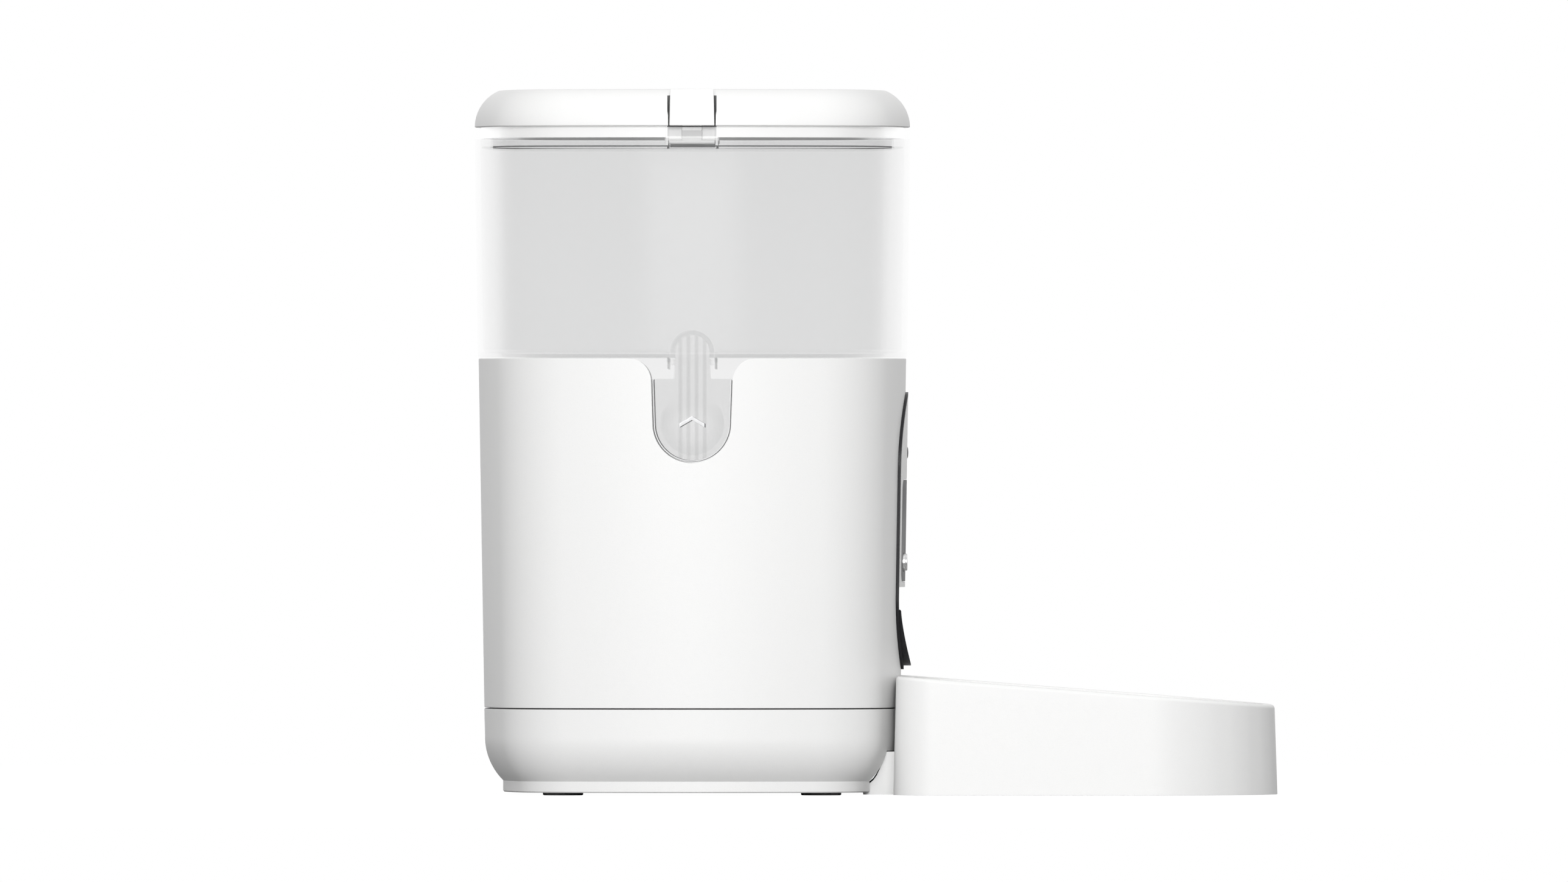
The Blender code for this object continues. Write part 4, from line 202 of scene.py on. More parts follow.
class LidSizes(bpy.types.PropertyGroup):
    """Round-edged lid and its latches."""
    edge: length("Edge radius", 0.0173, "Radius of the lid's rounded edge")
    wall: length("Lid wall", 0.0024, "Thickness of the lid")
    skirt_gap: length("Skirt gap", 0.0004, "Gap between the plug skirt and the bin")
    skirt_wall: length("Skirt wall", 0.0016, "Thickness of the plug skirt")
    skirt_drop: length("Skirt drop", 0.0050, "Drop of the plug skirt below the lid's edge")
    rib_inset: length("Rib inset", 0.0082, "Inset of the seal rib")
    rib_wall: length("Rib wall", 0.0016, "Thickness of the seal rib")
    rib_drop: length("Rib drop", 0.0050, "Drop of the seal rib below the lid's edge")
    seal_wall: length("Seal wall", 0.0009, "Thickness of the seal's skirt and lip")
    seal_gap: length("Seal gap", 0.0006, "Gap between the seal's lip and the bin")
    notch_top: length("Latch notch top half", 0.0106, "Half-width of a latch notch above")
    notch_low: length("Latch notch low half", 0.0102, "Half-width of a latch notch below")
    notch_inset: length("Latch notch inset", 0.0062, "Depth of a latch notch")
    notch_wall: length("Latch notch wall", 0.0016, "Thickness of the wall behind a latch")
    notch_rise: length("Latch wall rise", 0.0077, "Rise of the wall behind a latch")
    notch_drop: length("Latch wall drop", 0.0065, "Drop of the wall behind a latch below the lid's edge")
    ear: length("Latch ear place", 0.0103, "Distance of a latch ear from the latch's middle")
    ear_width: length("Latch ear width", 0.0010, "Thickness of a latch ear")
    ear_drop: length("Latch ear drop", 0.0085, "Drop of a latch ear below the lid's edge")
    latch_top: length("Latch top half", 0.0094, "Half-width of the paddle above")
    latch_low: length("Latch low half", 0.0098, "Half-width of the paddle below")
    leg_half: length("Leg half", 0.0042, "Half-width of the latch's leg")
    leg_thickness: length("Leg thickness", 0.0016, "Thickness of the latch's leg")
    leg_inset: length("Leg inset", 0.0038, "Inset of the latch's leg")
    pivot_drop: length("Latch pivot drop", 0.0070, "Drop of the latch's cross bar")
    bar: length("Bar radius", 0.0010, "Radius of the latch's cross bar")
    hook: length("Hook height", 0.0024, "Height of the latch's hook")
    hook_drop: length("Hook drop", 0.0044, "Drop of the hook's lowest point")
    paddle: length("Paddle thickness", 0.0026, "Thickness of the paddle above")
    lean: length("Paddle lean", 0.0016, "How far the paddle leans in above")
    window_top: length("Window top", 0.0006, "Highest level that the latch window shows, below the lid's edge")
    window_low: length("Window foot", 0.0046, "Lowest level that the latch window shows, below the lid's edge")


class PanelSizes(bpy.types.PropertyGroup):
    """Front panel with its screen, keys and spout."""
    low: length("Panel foot", 0.0544, "Level of the panel's round foot")
    top: length("Panel top", 0.1757, "Level of the panel's round head")
    half: length("Panel half width", 0.0340, "Half-width of the panel")
    rim: length("Bezel rim", 0.0015, "Width of the black rim")
    proud: length("Bezel proud", 0.0012, "How far the rim stands out of the wall")
    depth: length("Bezel depth", 0.0060, "Depth of the panel's carrier")
    pocket: length("Bezel pocket", 0.0047, "Depth of the pocket for the plate")
    plate_low: length("Plate foot", 0.0906, "Level of the foot of the white plate")
    plate_proud: length("Plate proud", 0.00115, "How far the white plate stands out")
    plate_thickness: length("Plate thickness", 0.0029, "Thickness of the white plate")
    screen_half: length("Screen half width", 0.0270, "Half-width of the screen")
    screen_low: length("Screen foot", 0.0927, "Level of the foot of the screen")
    screen_height: length("Screen height", 0.0450, "Height of the screen")
    screen_corner: length("Screen corner", 0.0050, "Corner radius of the screen")
    screen_proud: length("Screen proud", 0.0012, "How far the screen stands out")
    screen_thickness: length("Screen thickness", 0.0030, "Thickness of the screen")
    lens_radius: length("Lens radius", 0.0025, "Radius of the status lens")
    lens_drop: length("Lens drop", 0.0264, "Drop of the status lens below the panel's head")
    lens_depth: length("Lens depth", 0.0020, "Depth of the status lens behind the wall's face")
    display_half: length("Display half width", 0.0200, "Half-width of the display block")
    display_height: length("Display height", 0.0200, "Height of the display block")
    key_radius: length("Key radius", 0.0037, "Radius of a push key")
    key_pitch: length("Key pitch", 0.0184, "Distance between the push keys")
    key_level: length("Key level", 0.1014, "Level of the push keys")
    key_proud: length("Key proud", 0.0008, "How far a push key stands out of the screen")
    key_edge: length("Key edge", 0.0004, "Radius of a push key's edge")
    key_flange: length("Key flange", 0.0011, "Width of a push key's flange behind the screen")
    key_flange_wall: length("Key flange wall", 0.0006, "Thickness of a push key's flange")
    stem: length("Key stem", 0.0015, "Radius of a push key's stem")
    post_place: length("Board post place", 0.0256, "Distance of the board's posts from the middle")
    post_radius: length("Board post radius", 0.0024, "Radius of the board's posts")
    post_rise: length("Board post rise", 0.0069, "Rise of the lower posts above the plate's foot")
    post_drop: length("Board post drop", 0.0180, "Drop of the upper posts below the plate's pocket")
    board_depth: length("Board depth", 0.0130, "Depth of the board behind the wall's face")
    spout_wall: length("Spout wall", 0.0020, "Thickness of the spout")
    spout_reach: length("Spout reach", 0.0045, "How far the spout's foot leans out")
    spout_rise: length("Spout rise", 0.0240, "Height of the spout's leaning edge")
    spout_back: length("Spout back", 0.0098, "Depth of the spout behind the wall's face")


class TraySizes(bpy.types.PropertyGroup):
    """Bowl tray and the steel bowl in it."""
    reach: length("Reach", 0.2556, "Distance of the tray's front from the body's axis")
    rear: length("Rear", 0.0889, "Distance of the tray's back from the body's axis")
    half: length("Half width", 0.0800, "Half-width of the tray")
    rear_height: length("Rear height", 0.0519, "Height of the rim at the back")
    front_height: length("Front height", 0.0390, "Height of the rim at the front")
    flare: FloatProperty(name="Flare", description="Outward draft of the skirt", default=0.0310)
    front_corner: length("Front corner", 0.0500, "Radius of the front corners")
    rear_corner: length("Rear corner", 0.0160, "Radius of the rear corners")
    bow: length("Front bow", 0.0048, "Bow of the tray's front")
    wall: length("Tray wall", 0.0018, "Thickness of the tray")
    rim: length("Rim width", 0.0049, "Width of the flat rim")
    rim_round: length("Rim round", 0.0016, "Radius of the rim's outer edge")
    soft_edge: length("Soft edge", 0.0005, "Radius of the well's edges")
    ledge: length("Ledge width", 0.0048, "Width of the ledge that carries the bowl")
    ledge_drop: length("Ledge drop", 0.0028, "Drop of the ledge below the rim")
    floor: length("Floor rise", 0.0062, "Level of the tray's floor")
    gap: length("Body gap", 0.0010, "Gap between the tray and the body")
    tongue_half: length("Tongue half width", 0.0440, "Half-width of the tongue under the base")
    tongue_height: length("Tongue height", 0.0189, "Height of the tongue's root")
    tongue_back: length("Tongue back", 0.0746, "Distance of the tongue's end from the body's axis")
    tongue_foot: length("Tongue foot", 0.0760, "Distance of the tongue's upright step from the body's axis")
    tongue_bulge: length("Tongue bulge", 0.0078, "How far the tongue leans forward above its step")
    tongue_lift: length("Tongue lift", 0.0002, "Gap under the tray and its tongue")
    tongue_plate: length("Tongue plate", 0.0009, "Thickness of the tongue's plate")
    sheet: length("Bowl sheet", 0.0008, "Thickness of the steel")
    side_gap: length("Bowl side gap", 0.0015, "Gap between the bowl's side and the tray's well")
    taper: length("Bowl taper", 0.0045, "Taper of the bowl's side")
    floor_round: length("Bowl floor round", 0.0080, "Radius between the bowl's side and floor")
    flange_gap: length("Flange gap", 0.0004, "Gap round the bowl's flange")
    lip: length("Bowl lip", 0.0016, "Radius of the bowl's lip")


class Paints(bpy.types.PropertyGroup):
    """Colours of the finishes."""
    white: paint("White shell", (0.85, 0.85, 0.845), "Moulded white shells")
    clear: paint("Clear bin", (0.255, 0.26, 0.265), "Smoky clear plastic of the bin")
    black: paint("Black trim", (0.018, 0.018, 0.020), "Black trim and spout")
    smoke: paint("Smoked screen", (0.150, 0.150, 0.155), "Smoked screen")
    steel: paint("Bare steel", (0.62, 0.62, 0.61), "Bowl, contacts and shaft")
    silver: paint("Silver trim", (0.70, 0.70, 0.70), "Push keys")
    rubber: paint("Soft rubber", (0.260, 0.260, 0.260), "Feet")
    silicone: paint("Soft silicone", (0.72, 0.72, 0.70), "Seal and paddle wheel")
    board: paint("Board green", (0.020, 0.160, 0.080), "Control board")
    grey: paint("Grey inner", (0.30, 0.30, 0.31), "Hidden mouldings")
    motor: paint("Motor can", (0.55, 0.55, 0.56), "Motor can")
    sleeve: paint("Cell sleeve", (0.10, 0.11, 0.13), "Sleeve of a battery cell")
    # Painted sheen: clear plastic is tinted towards this pale colour where it is seen along its face, standing
    # in for reflection. It is also the seal's own pale colour, the colour of the tabs' painted highlight line
    # and of the chevron's white mark.
    glow: paint("Clear edge", (0.92, 0.925, 0.93), "Clear plastic seen along its face")
    # Painted shade: white surfaces that lie in the shade of a narrow gap are coloured this near-black, at the
    # parting line, the latch notches, under the paddles and round the tabs.
    painted_gap_shade: paint("Gap dark", (0.018, 0.018, 0.018), "Surfaces seen only down a narrow gap")
    # Painted shade: white surfaces seen, in shade, through a latch window are coloured this grey.
    painted_window_shade: paint("Veiled grey", (0.60, 0.60, 0.60), "Surfaces seen through a latch window")
    clear_cover: FloatProperty(
        name="Clear cover", description="How much each face of the clear bin covers", default=0.11,
        min=0.0, max=1.0, subtype="FACTOR",
    )
    tab_cover: FloatProperty(
        name="Tab cover", description="How much each face of a press tab covers", default=0.049,
        min=0.0, max=1.0, subtype="FACTOR",
    )


class Studio(bpy.types.PropertyGroup):
    """Camera, floor and lamps."""
    lens: FloatProperty(name="Lens", description="Focal length of the camera", default=900.0, unit="CAMERA")
    view_width: length("View width", 2576 * PIXEL, "Width of the picture at the object")
    aim_y: length("Aim across", (1137.5 - 1288) * PIXEL, "Aim of the camera from the body's axis, along Y")
    aim_z: length("Aim height", (1304.6 - 724.5) * PIXEL, "Aim of the camera above the floor")
    ambient: FloatProperty(name="Ambient", description="Strength of the light from all round", default=0.56)
    key: FloatProperty(name="Key", description="Power of the main lamp", default=37.0, unit="POWER")
    floor_half: length("Floor half width", 1.5, "Half-width of the floor")
    floor_glow: FloatProperty(name="Floor glow", description="Strength of the floor's own light", default=1.07)
    floor_share: FloatProperty(name="Floor share", description="Share of that light in the view", default=0.92)


def sizes(*groups):
    """The property groups of these names: one alone, or a list of several."""
    found = [getattr(bpy.context.scene, "feeder_" + group) for group in groups]
    return found if len(found) > 1 else found[0]


# Modelling steps


def start():
    """Leave edit mode and deselect all, so that the next primitive stands alone."""
    if bpy.context.mode != "OBJECT":
        bpy.ops.object.mode_set(mode="OBJECT")
    bpy.ops.object.select_all(action="DESELECT")


def choose(piece):
    """Make a piece the only selected and active one."""
    start()
    piece.select_set(True)
    bpy.context.view_layer.objects.active = piece


def named(name):
    """Name the new primitive and its data."""
    piece = bpy.context.active_object
    piece.name = piece.data.name = name
    return piece


def edit_all():
    """Enter edit mode with every vertex selected."""
    bpy.ops.object.mode_set(mode="EDIT")
    bpy.ops.mesh.select_mode(type="VERT")
    bpy.ops.mesh.select_all(action="SELECT")


def tidy(piece):
    """Merge doubles and turn all faces outwards."""
    choose(piece)
    edit_all()
    bpy.ops.mesh.remove_doubles(threshold=MERGE)
    bpy.ops.mesh.normals_make_consistent(inside=False)
    bpy.ops.object.mode_set(mode="OBJECT")
    return piece


def pick(piece, test):
    """In edit mode, select the vertices that pass a test of their height."""
    bpy.ops.object.mode_set(mode="OBJECT")
    for part in (*piece.data.polygons, *piece.data.edges):
        part.select = False
    for vert in piece.data.vertices:
        vert.select = test(vert.co.z)
    bpy.ops.object.mode_set(mode="EDIT")
    bpy.ops.mesh.select_mode(type="VERT")


def circle(name, count, **fill):
    """Circle with a vertex for each point of an outline, left in edit mode."""
    start()
    bpy.ops.mesh.primitive_circle_add(vertices=count, radius=1, location=(0, 0, 0), **fill)
    piece = named(name)
    edit_all()
    return piece


def lift():
    """Extrude what is selected by a height of one."""
    bpy.ops.mesh.extrude_region_move(TRANSFORM_OT_translate={"value": (0, 0, 1)})


def shaped(piece, count, place):
    """Move each vertex to the place that belongs to its height and its number round the circle."""
    bpy.ops.object.mode_set(mode="OBJECT")
    pitch = 2 * math.pi / count
    for vert in piece.data.vertices:
        x, y, z = vert.co
        vert.co = place(round(z), round(math.atan2(y, x) / pitch) % count)
    return tidy(piece)


def skin(name, rings, closed=False, cap_first=False, cap_last=False):
    """Extrude a circle once for each ring, then give each ring its shape."""
    count, last = len(rings[0]), len(rings) - 1
    piece = circle(name, count)
    bpy.ops.mesh.select_mode(type="EDGE")
    for step in range(last):
        lift()
    if cap_last:
        bpy.ops.mesh.edge_face_add()
    if cap_first:
        pick(piece, lambda z: z < 0.5)
        bpy.ops.mesh.edge_face_add()
    if closed:
        pick(piece, lambda z: z < 0.5 or z > last - 0.5)
        bpy.ops.mesh.bridge_edge_loops()
    return shaped(piece, count, lambda step, point: rings[step][point])


def slab(name, outline, low, high, plane="XZ"):
    """Fill an upright outline and extrude it, along Y from plane XZ or along X from plane YZ."""
    def place(step, point):
        across, up = outline[point]
        depth = (low, high)[step]
        return (across, depth, up) if plane == "XZ" else (depth, across, up)

    piece = circle(name, len(outline), fill_type="NGON")
    lift()
    return shaped(piece, len(outline), place)


def block(name, low, high):
    """Cube at its size and place."""
    start()
    low, high = Vector(low), Vector(high)
    bpy.ops.mesh.primitive_cube_add(size=1, location=(low + high) / 2, scale=high - low)
    piece = named(name)
    bpy.ops.object.transform_apply(location=True, rotation=True, scale=True)
    return piece


def turned(name, profile, base=(0, 0, 0), direction=(0, 0, 1), steps=64):
    """Turn a profile of radius and height about a line."""
    aim = Matrix.Translation(Vector(base)) @ Vector(direction).to_track_quat("Z", "Y").to_matrix().to_4x4()
    return skin(name, [
        [aim @ Vector((x, y, height)) for x, y in disc((0, 0), radius, steps)] for radius, height in profile
    ])


def rod(name, begin, end, radius, steps=24):
    """Round bar from one point to another."""
    begin, run = Vector(begin), Vector(end) - Vector(begin)
    return turned(name, [(0, 0), (radius, 0), (radius, run.length), (0, run.length)], begin, run, steps)


def use(piece, kind, **settings):
    """Add a modifier and apply it."""
    choose(piece)
    modifier = piece.modifiers.new(kind.lower(), kind)
    for key, value in settings.items():
        setattr(modifier, key, value)
    bpy.ops.object.modifier_apply(modifier=modifier.name)
    return piece


def thicken(piece, wall):
    """Give a skin a wall on its inner side."""
    return use(piece, "SOLIDIFY", thickness=wall, offset=-1, use_even_offset=True)


def combine(piece, tools, operation):
    """Apply each tool to a piece, then remove the tool."""
    for tool in tools:
        use(piece, "BOOLEAN", operation=operation, solver="EXACT", object=tool)
        bpy.data.objects.remove(tool, do_unlink=True)
    return piece


def cut(piece, *tools):
    return combine(piece, tools, "DIFFERENCE")


def join(piece, *tools):
    return combine(piece, tools, "UNION")


def soften(piece, width, segments=2, angle=50):
    """Round the edges of a piece that are sharper than an angle in degrees."""
    return use(
        piece, "BEVEL", width=width, segments=segments, limit_method="ANGLE",
        angle_limit=math.radians(angle), use_clamp_overlap=True,
    )


def painted(mesh, finish):
    mesh.materials.clear()
    mesh.materials.append(material(finish))


def done(piece, finish, node):
    """Shade and paint a finished piece, and give it the body and place of its CAD node."""
    choose(piece)
    bpy.ops.object.shade_smooth_by_angle(angle=SMOOTH_ANGLE)
    use(piece, "WEIGHTED_NORMAL", keep_sharp=True)
    painted(piece.data, finish)
    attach(piece, frame["nodes"][node]["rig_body"])
    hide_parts(node)


# Outlines


def turns(steps, sweep=math.pi / 2):
    """Angles from nought to a sweep in even steps."""
    return [sweep * step / steps for step in range(steps + 1)]


def between(low, high, steps):
    """Even levels between two others, without them."""
    return [low + (high - low) * step / steps for step in range(1, steps)]


def arc(centre, radius, begin, end, steps):
    return [
        (centre[0] + radius * math.cos(begin + turn), centre[1] + radius * math.sin(begin + turn))
        for turn in turns(steps, end - begin)
    ]


def disc(centre, radius, steps=40):
    return arc(centre, radius, 0, 2 * math.pi, steps)[:-1]


def filleted(corners, radii, steps=8):
    """Outline through the corners, each one rounded by its own radius."""
    points = []
    for place, radius in enumerate(radii):
        here = Vector(corners[place])
        if not radius:
            points.append(tuple(here))
            continue
        back = (Vector(corners[place - 1]) - here).normalized()
        ahead = (Vector(corners[(place + 1) % len(corners)]) - here).normalized()
        half_angle = back.angle(ahead) / 2
        centre = here + (back + ahead).normalized() * radius / math.sin(half_angle)
        reach = radius / math.tan(half_angle)
        first = here + back * reach - centre
        sweep = first.angle_signed(here + ahead * reach - centre)
        for turn in turns(steps, sweep):
            moved = first.copy()
            moved.rotate(Matrix.Rotation(-turn, 2))
            points.append(tuple(centre + moved))
    return points


def box_outline(low, high, radius=0.0, steps=8):
    return filleted([low, (high[0], low[1]), high, (low[0], high[1])], [radius] * 4, steps)


def capsule(half, low, high, steps=32):
    """Upright outline with round ends."""
    head = arc((0, high - half), half, 0, math.pi, steps)
    return head + arc((0, low + half), half, math.pi, 2 * math.pi, steps)


def plan_outline(half):
    """Square with bowed sides and round corners, drawn in or out in parallel to a half-width."""
    plan = sizes("plan")
    inset = plan.half - half
    bow = plan.side - plan.half
    reach = plan.side - plan.corner
    corner = (math.sqrt(2 * reach ** 2 - bow ** 2) - bow) / 2
    tangent = math.atan2(corner, corner + bow)
    points = []
    for quarter in range(4):
        side = arc((-bow, 0), plan.side - inset, 0, tangent, plan.side_steps)[:-1]
        bend = arc((corner, corner), plan.corner - inset, tangent, math.pi / 2 - tangent, plan.corner_steps)
        far = arc((0, -bow), plan.side - inset, math.pi / 2 - tangent, math.pi / 2, plan.side_steps)[1:-1]
        spin = Matrix.Rotation(quarter * math.pi / 2, 2)
        points += [tuple(spin @ Vector(point)) for point in side + bend + far]
    return points


def round_outline(radius):
    """Circle with its points at the same bearings as the plan's points."""
    bearings = [math.atan2(y, x) for x, y in plan_outline(sizes("plan").half)]
    return [(radius * math.cos(bearing), radius * math.sin(bearing)) for bearing in bearings]


def blended(first, second, share):
    return [tuple(Vector(a).lerp(Vector(b), share)) for a, b in zip(first, second)]


def about_axis(x, y, z):
    """A point whose Y was counted from the body's axis."""
    return Vector((x, y + sizes("plan").axis, z))


def ring(outline, z):
    return [about_axis(x, y, z) for x, y in outline]


def plan_rings(section):
    return [ring(plan_outline(half), z) for half, z in section]


def wall_half(z):
    """Half-width of the body's drafted wall at a level."""
    plan = sizes("plan")
    return plan.half - (plan.housing_top - z) * plan.slope


def bin_half(z):
    """Half-width of the food bin at a level."""
    plan = sizes("plan")
    share = (z - plan.bin_low) / (plan.bin_top - plan.bin_low)
    return plan.bin_low_half + (plan.bin_top_half - plan.bin_low_half) * share


def side_fall(across):
    """How far a bowed side falls back at a distance from its middle."""
    side = sizes("plan").side
    return side - math.sqrt(side ** 2 - across ** 2)


def front_y(x, z, depth):
    """Y of a point at a depth behind the front wall's face."""
    return sizes("plan").axis - wall_half(z) + side_fall(x) + depth


def lay_on_wall(piece, heading, strip=BEND_STRIP):
    """Bend a flat upright piece onto a bowed side; heading 0 is the front and 90 the +X side."""
    choose(piece)
    if strip:
        reach = int(max(abs(vert.co.x) for vert in piece.data.vertices) / strip)
        for step in range(-reach, reach + 1):
            edit_all()
            bpy.ops.mesh.bisect(plane_co=(step * strip, 0, 0), plane_no=(1, 0, 0), threshold=MERGE)
            bpy.ops.object.mode_set(mode="OBJECT")
    turn = Matrix.Rotation(math.radians(heading), 3, "Z")
    for vert in piece.data.vertices:
        across, depth, z = vert.co
        vert.co = about_axis(*(turn @ Vector((across, depth - wall_half(z) + side_fall(across), z))))
    return piece


def turn_about_axis(piece, heading):
    """Turn a piece that was drawn at the front, about an axis at the origin, to its own side."""
    turn = Matrix.Rotation(math.radians(heading), 4, "Z")
    piece.data.transform(Matrix.Translation(about_axis(0, 0, 0)) @ turn)
    return piece


# Shader tools


def feed(tree, slot, value):
    """Put a number, colour or wire into a socket."""
    if isinstance(value, Wire):
        tree.links.new(value.socket, slot)
    else:
        slot.default_value = value


class Wire:
    """A shader socket that takes part in plain arithmetic."""

    def __init__(self, tree, socket):
        self.tree = tree
        self.socket = socket

    def math(self, operation, *values):
        node = self.tree.nodes.new("ShaderNodeMath")
        node.operation = operation
        for slot, value in zip(node.inputs, values):
            feed(self.tree, slot, value)
        return Wire(self.tree, node.outputs[0])

    def __add__(self, other):
        return self.math("ADD", self, other)

    def __radd__(self, other):
        return self.math("ADD", other, self)

    def __sub__(self, other):
        return self.math("SUBTRACT", self, other)

    def __rsub__(self, other):
        return self.math("SUBTRACT", other, self)

    def __mul__(self, other):
        return self.math("MULTIPLY", self, other)

    def __rmul__(self, other):
        return self.math("MULTIPLY", other, self)

    def __abs__(self):
        return self.math("ABSOLUTE", self)

    def least(self, other):
        return self.math("MINIMUM", self, other)

    def most(self, other):
        return self.math("MAXIMUM", self, other)

    def length(self, other):
        """Length of the arrow with this wire and another as its parts."""
        return self.math("SQRT", self * self + other * other)


class Nodes:
    """A node tree that is put together one node at a time."""

    def __init__(self, tree):
        self.tree = tree

    def node(self, kind, sockets=None, out=0, **settings):
        """Any node: its settings first, then its sockets by name or number, then the output that is used."""
        node = self.tree.nodes.new(kind)
        for name, value in settings.items():
            setattr(node, name, value)
        for name, value in (sockets or {}).items():
            feed(self.tree, node.inputs[name], value)
        return Wire(self.tree, node.outputs[out])

    def blend(self, share, first, second):
        return self.node("ShaderNodeMixShader", {0: share, 1: first, 2: second})


class Finish(Nodes):
    """A material that is being put together round its Principled shader."""

    def __init__(self, name, colour, roughness, **plain):
        self.material = bpy.data.materials.new(name)
        self.material.use_nodes = True
        super().__init__(self.material.node_tree)
        self.shader = self.tree.nodes["Principled BSDF"]
        self.colour = (*colour, 1.0)
        self.set(Base_Color=self.colour, Roughness=roughness, **plain)
        self.place = self.node("ShaderNodeTexCoord", out="Object")

    def set(self, **sockets):
        for name, value in sockets.items():
            feed(self.tree, self.shader.inputs[name.replace("_", " ")], value)

    def noise(self, scale, detail=2.0, place=None):
        return self.node("ShaderNodeTexNoise", {
            "Vector": place or self.place, "Scale": scale, "Detail": detail, "Roughness": 0.55,
        })

    def stretched(self, x, y, z):
        return self.node("ShaderNodeMapping", {"Vector": self.place, "Scale": (x, y, z)})

    def along(self, axis):
        return self.node("ShaderNodeSeparateXYZ", {"Vector": self.place}, out=axis)

    def facing(self):
        """Nought where a face is seen square on, and one where it is seen along."""
        return self.node("ShaderNodeLayerWeight", {"Blend": 0.30}, out="Facing")

    def span(self, value, low, high, to_low, to_high):
        """Ease from one value to another while the input goes from low to high."""
        return self.node("ShaderNodeMapRange", {
            "Value": value, "From Min": low, "From Max": high, "To Min": to_low, "To Max": to_high,
        }, interpolation_type="SMOOTHSTEP")

    def above(self, value, edge, blur=0.00006):
        return self.span(value, edge - blur, edge + blur, 0.0, 1.0)

    def below(self, value, edge, blur=0.00006):
        return self.span(value, edge - blur, edge + blur, 1.0, 0.0)

    def within(self, value, low, high):
        return self.above(value, low) * self.below(value, high)

    def mix(self, mask, first, second):
        return self.node("ShaderNodeMix", {0: mask, 6: first, 7: second}, out=2, data_type="RGBA")

    def tint(self, mask, other):
        """Blend the base colour towards another by a mask."""
        self.colour = self.mix(mask, self.colour, (*other, 1.0))
        self.set(Base_Color=self.colour)

    def relief(self, height, depth, strength=1.0):
        """Raise the surface by a height map."""
        bump = {"Height": height, "Distance": depth, "Strength": strength}
        self.set(Normal=self.node("ShaderNodeBump", bump))


# Finishes


MADE = {}


def shade(colour, factor):
    return tuple(min(1.0, part * factor) for part in colour)


def moulded(name):
    """Fine-grained moulded white plastic."""
    white = sizes("paints").white
    made = Finish(name, white, 0.42, Specular_IOR_Level=0.45)
    grain = made.noise(2600.0, 3.0)
    made.tint(made.span(grain, 0.50, 0.72, 0.0, 0.55), shade(white, 0.955))
    made.tint(made.span(made.noise(26.0), 0.45, 0.80, 0.0, 0.40), shade(white, 0.985))
    made.set(Roughness=made.span(grain, 0.3, 0.7, 0.38, 0.50))
    made.relief(grain, 0.00004, 0.55)
    return made


def white_shell():
    return moulded("white_shell")


def white_base():
    """White plastic with painted shade on its lap rim, which darkens the parting line."""
    made = moulded("white_base")
    # Painted shade: the lap rim is coloured near-black, so that the parting line reads dark.
    made.tint(made.above(made.along("Z"), sizes("plan").base_top - 0.0001), sizes("paints").painted_gap_shade)
    return made


def white_lid():
    """White plastic with painted shade in the latch notches, a grey painted shade where the latch window shows
    them, and painted light on the plug skirt.
    """
    plan, lid, paints = sizes("plan", "lid", "paints")
    made = moulded("white_lid")
    across, z = abs(made.along("Y") - plan.axis), made.along("Z")
    depth = plan.lid_half - abs(made.along("X"))
    notch = made.above(depth, 0.0012, 0.0004) * made.below(depth, lid.notch_inset + 0.0002)
    notch = notch * made.below(across, lid.notch_top + 0.0001)
    window = plan.lid_low - lid.window_top
    # Painted shade: the notch's walls are near-black, and grey lower down where the latch window shows them.
    made.tint(notch * made.within(z, window, plan.lid_top - 0.0026), paints.painted_gap_shade)
    made.tint(notch * made.within(z, plan.lid_low - lid.window_low, window), paints.painted_window_shade)
    # Painted light: the plug skirt glows white, more where it is seen along its face, as if lit through the
    # clear bin.
    skirt = made.within(z, plan.lid_low - lid.skirt_drop - SEAT_GAP, plan.lid_low - 0.0002)
    glow = made.span(made.facing(), 0.10, 0.80, 0.05, 0.60) * skirt
    made.set(Emission_Color=made.mix(glow, BLACK, WHITE), Emission_Strength=1.0)
    return made


def white_latch():
    """White plastic with a painted shade line under the paddle, and a grey painted shade where the latch window
    shows the leg.
    """
    plan, lid, paints = sizes("plan", "lid", "paints")
    made = moulded("white_latch")
    z, window = made.along("Z"), plan.lid_low - lid.window_top
    # Painted shade: a near-black band under the paddle, and grey on the leg where the latch window shows it.
    made.tint(made.within(z, window, plan.lid_low), paints.painted_gap_shade)
    made.tint(made.within(z, plan.lid_low - lid.window_low, window), shade(paints.painted_window_shade, 1.04))
    return made


def see_through(name, colour, cover, edge_cover):
    """Clear plastic with faint flow waves and a painted sheen: where it is seen along its face its colour is
    tinted pale, standing in for reflection, and it covers more.
    """
    made = Finish(name, colour, 0.16, Specular_IOR_Level=0.3)
    wave = made.noise(34.0, 1.0, made.stretched(1.0, 1.0, 0.35))
    haze, rim = made.noise(420.0), made.facing()
    made.tint(made.span(haze, 0.45, 0.8, 0.0, 0.4), shade(colour, 1.05))
    # Painted reflection: the colour is tinted towards the pale sheen where the face is seen along it.
    made.tint(made.span(rim, 0.25, 0.95, 0.0, 1.0), sizes("paints").glow)
    made.set(Roughness=made.span(haze, 0.3, 0.7, 0.12, 0.22))
    made.relief(wave, 0.0002, 0.25)
    return made, made.span(rim, 0.20, 0.90, cover, edge_cover)


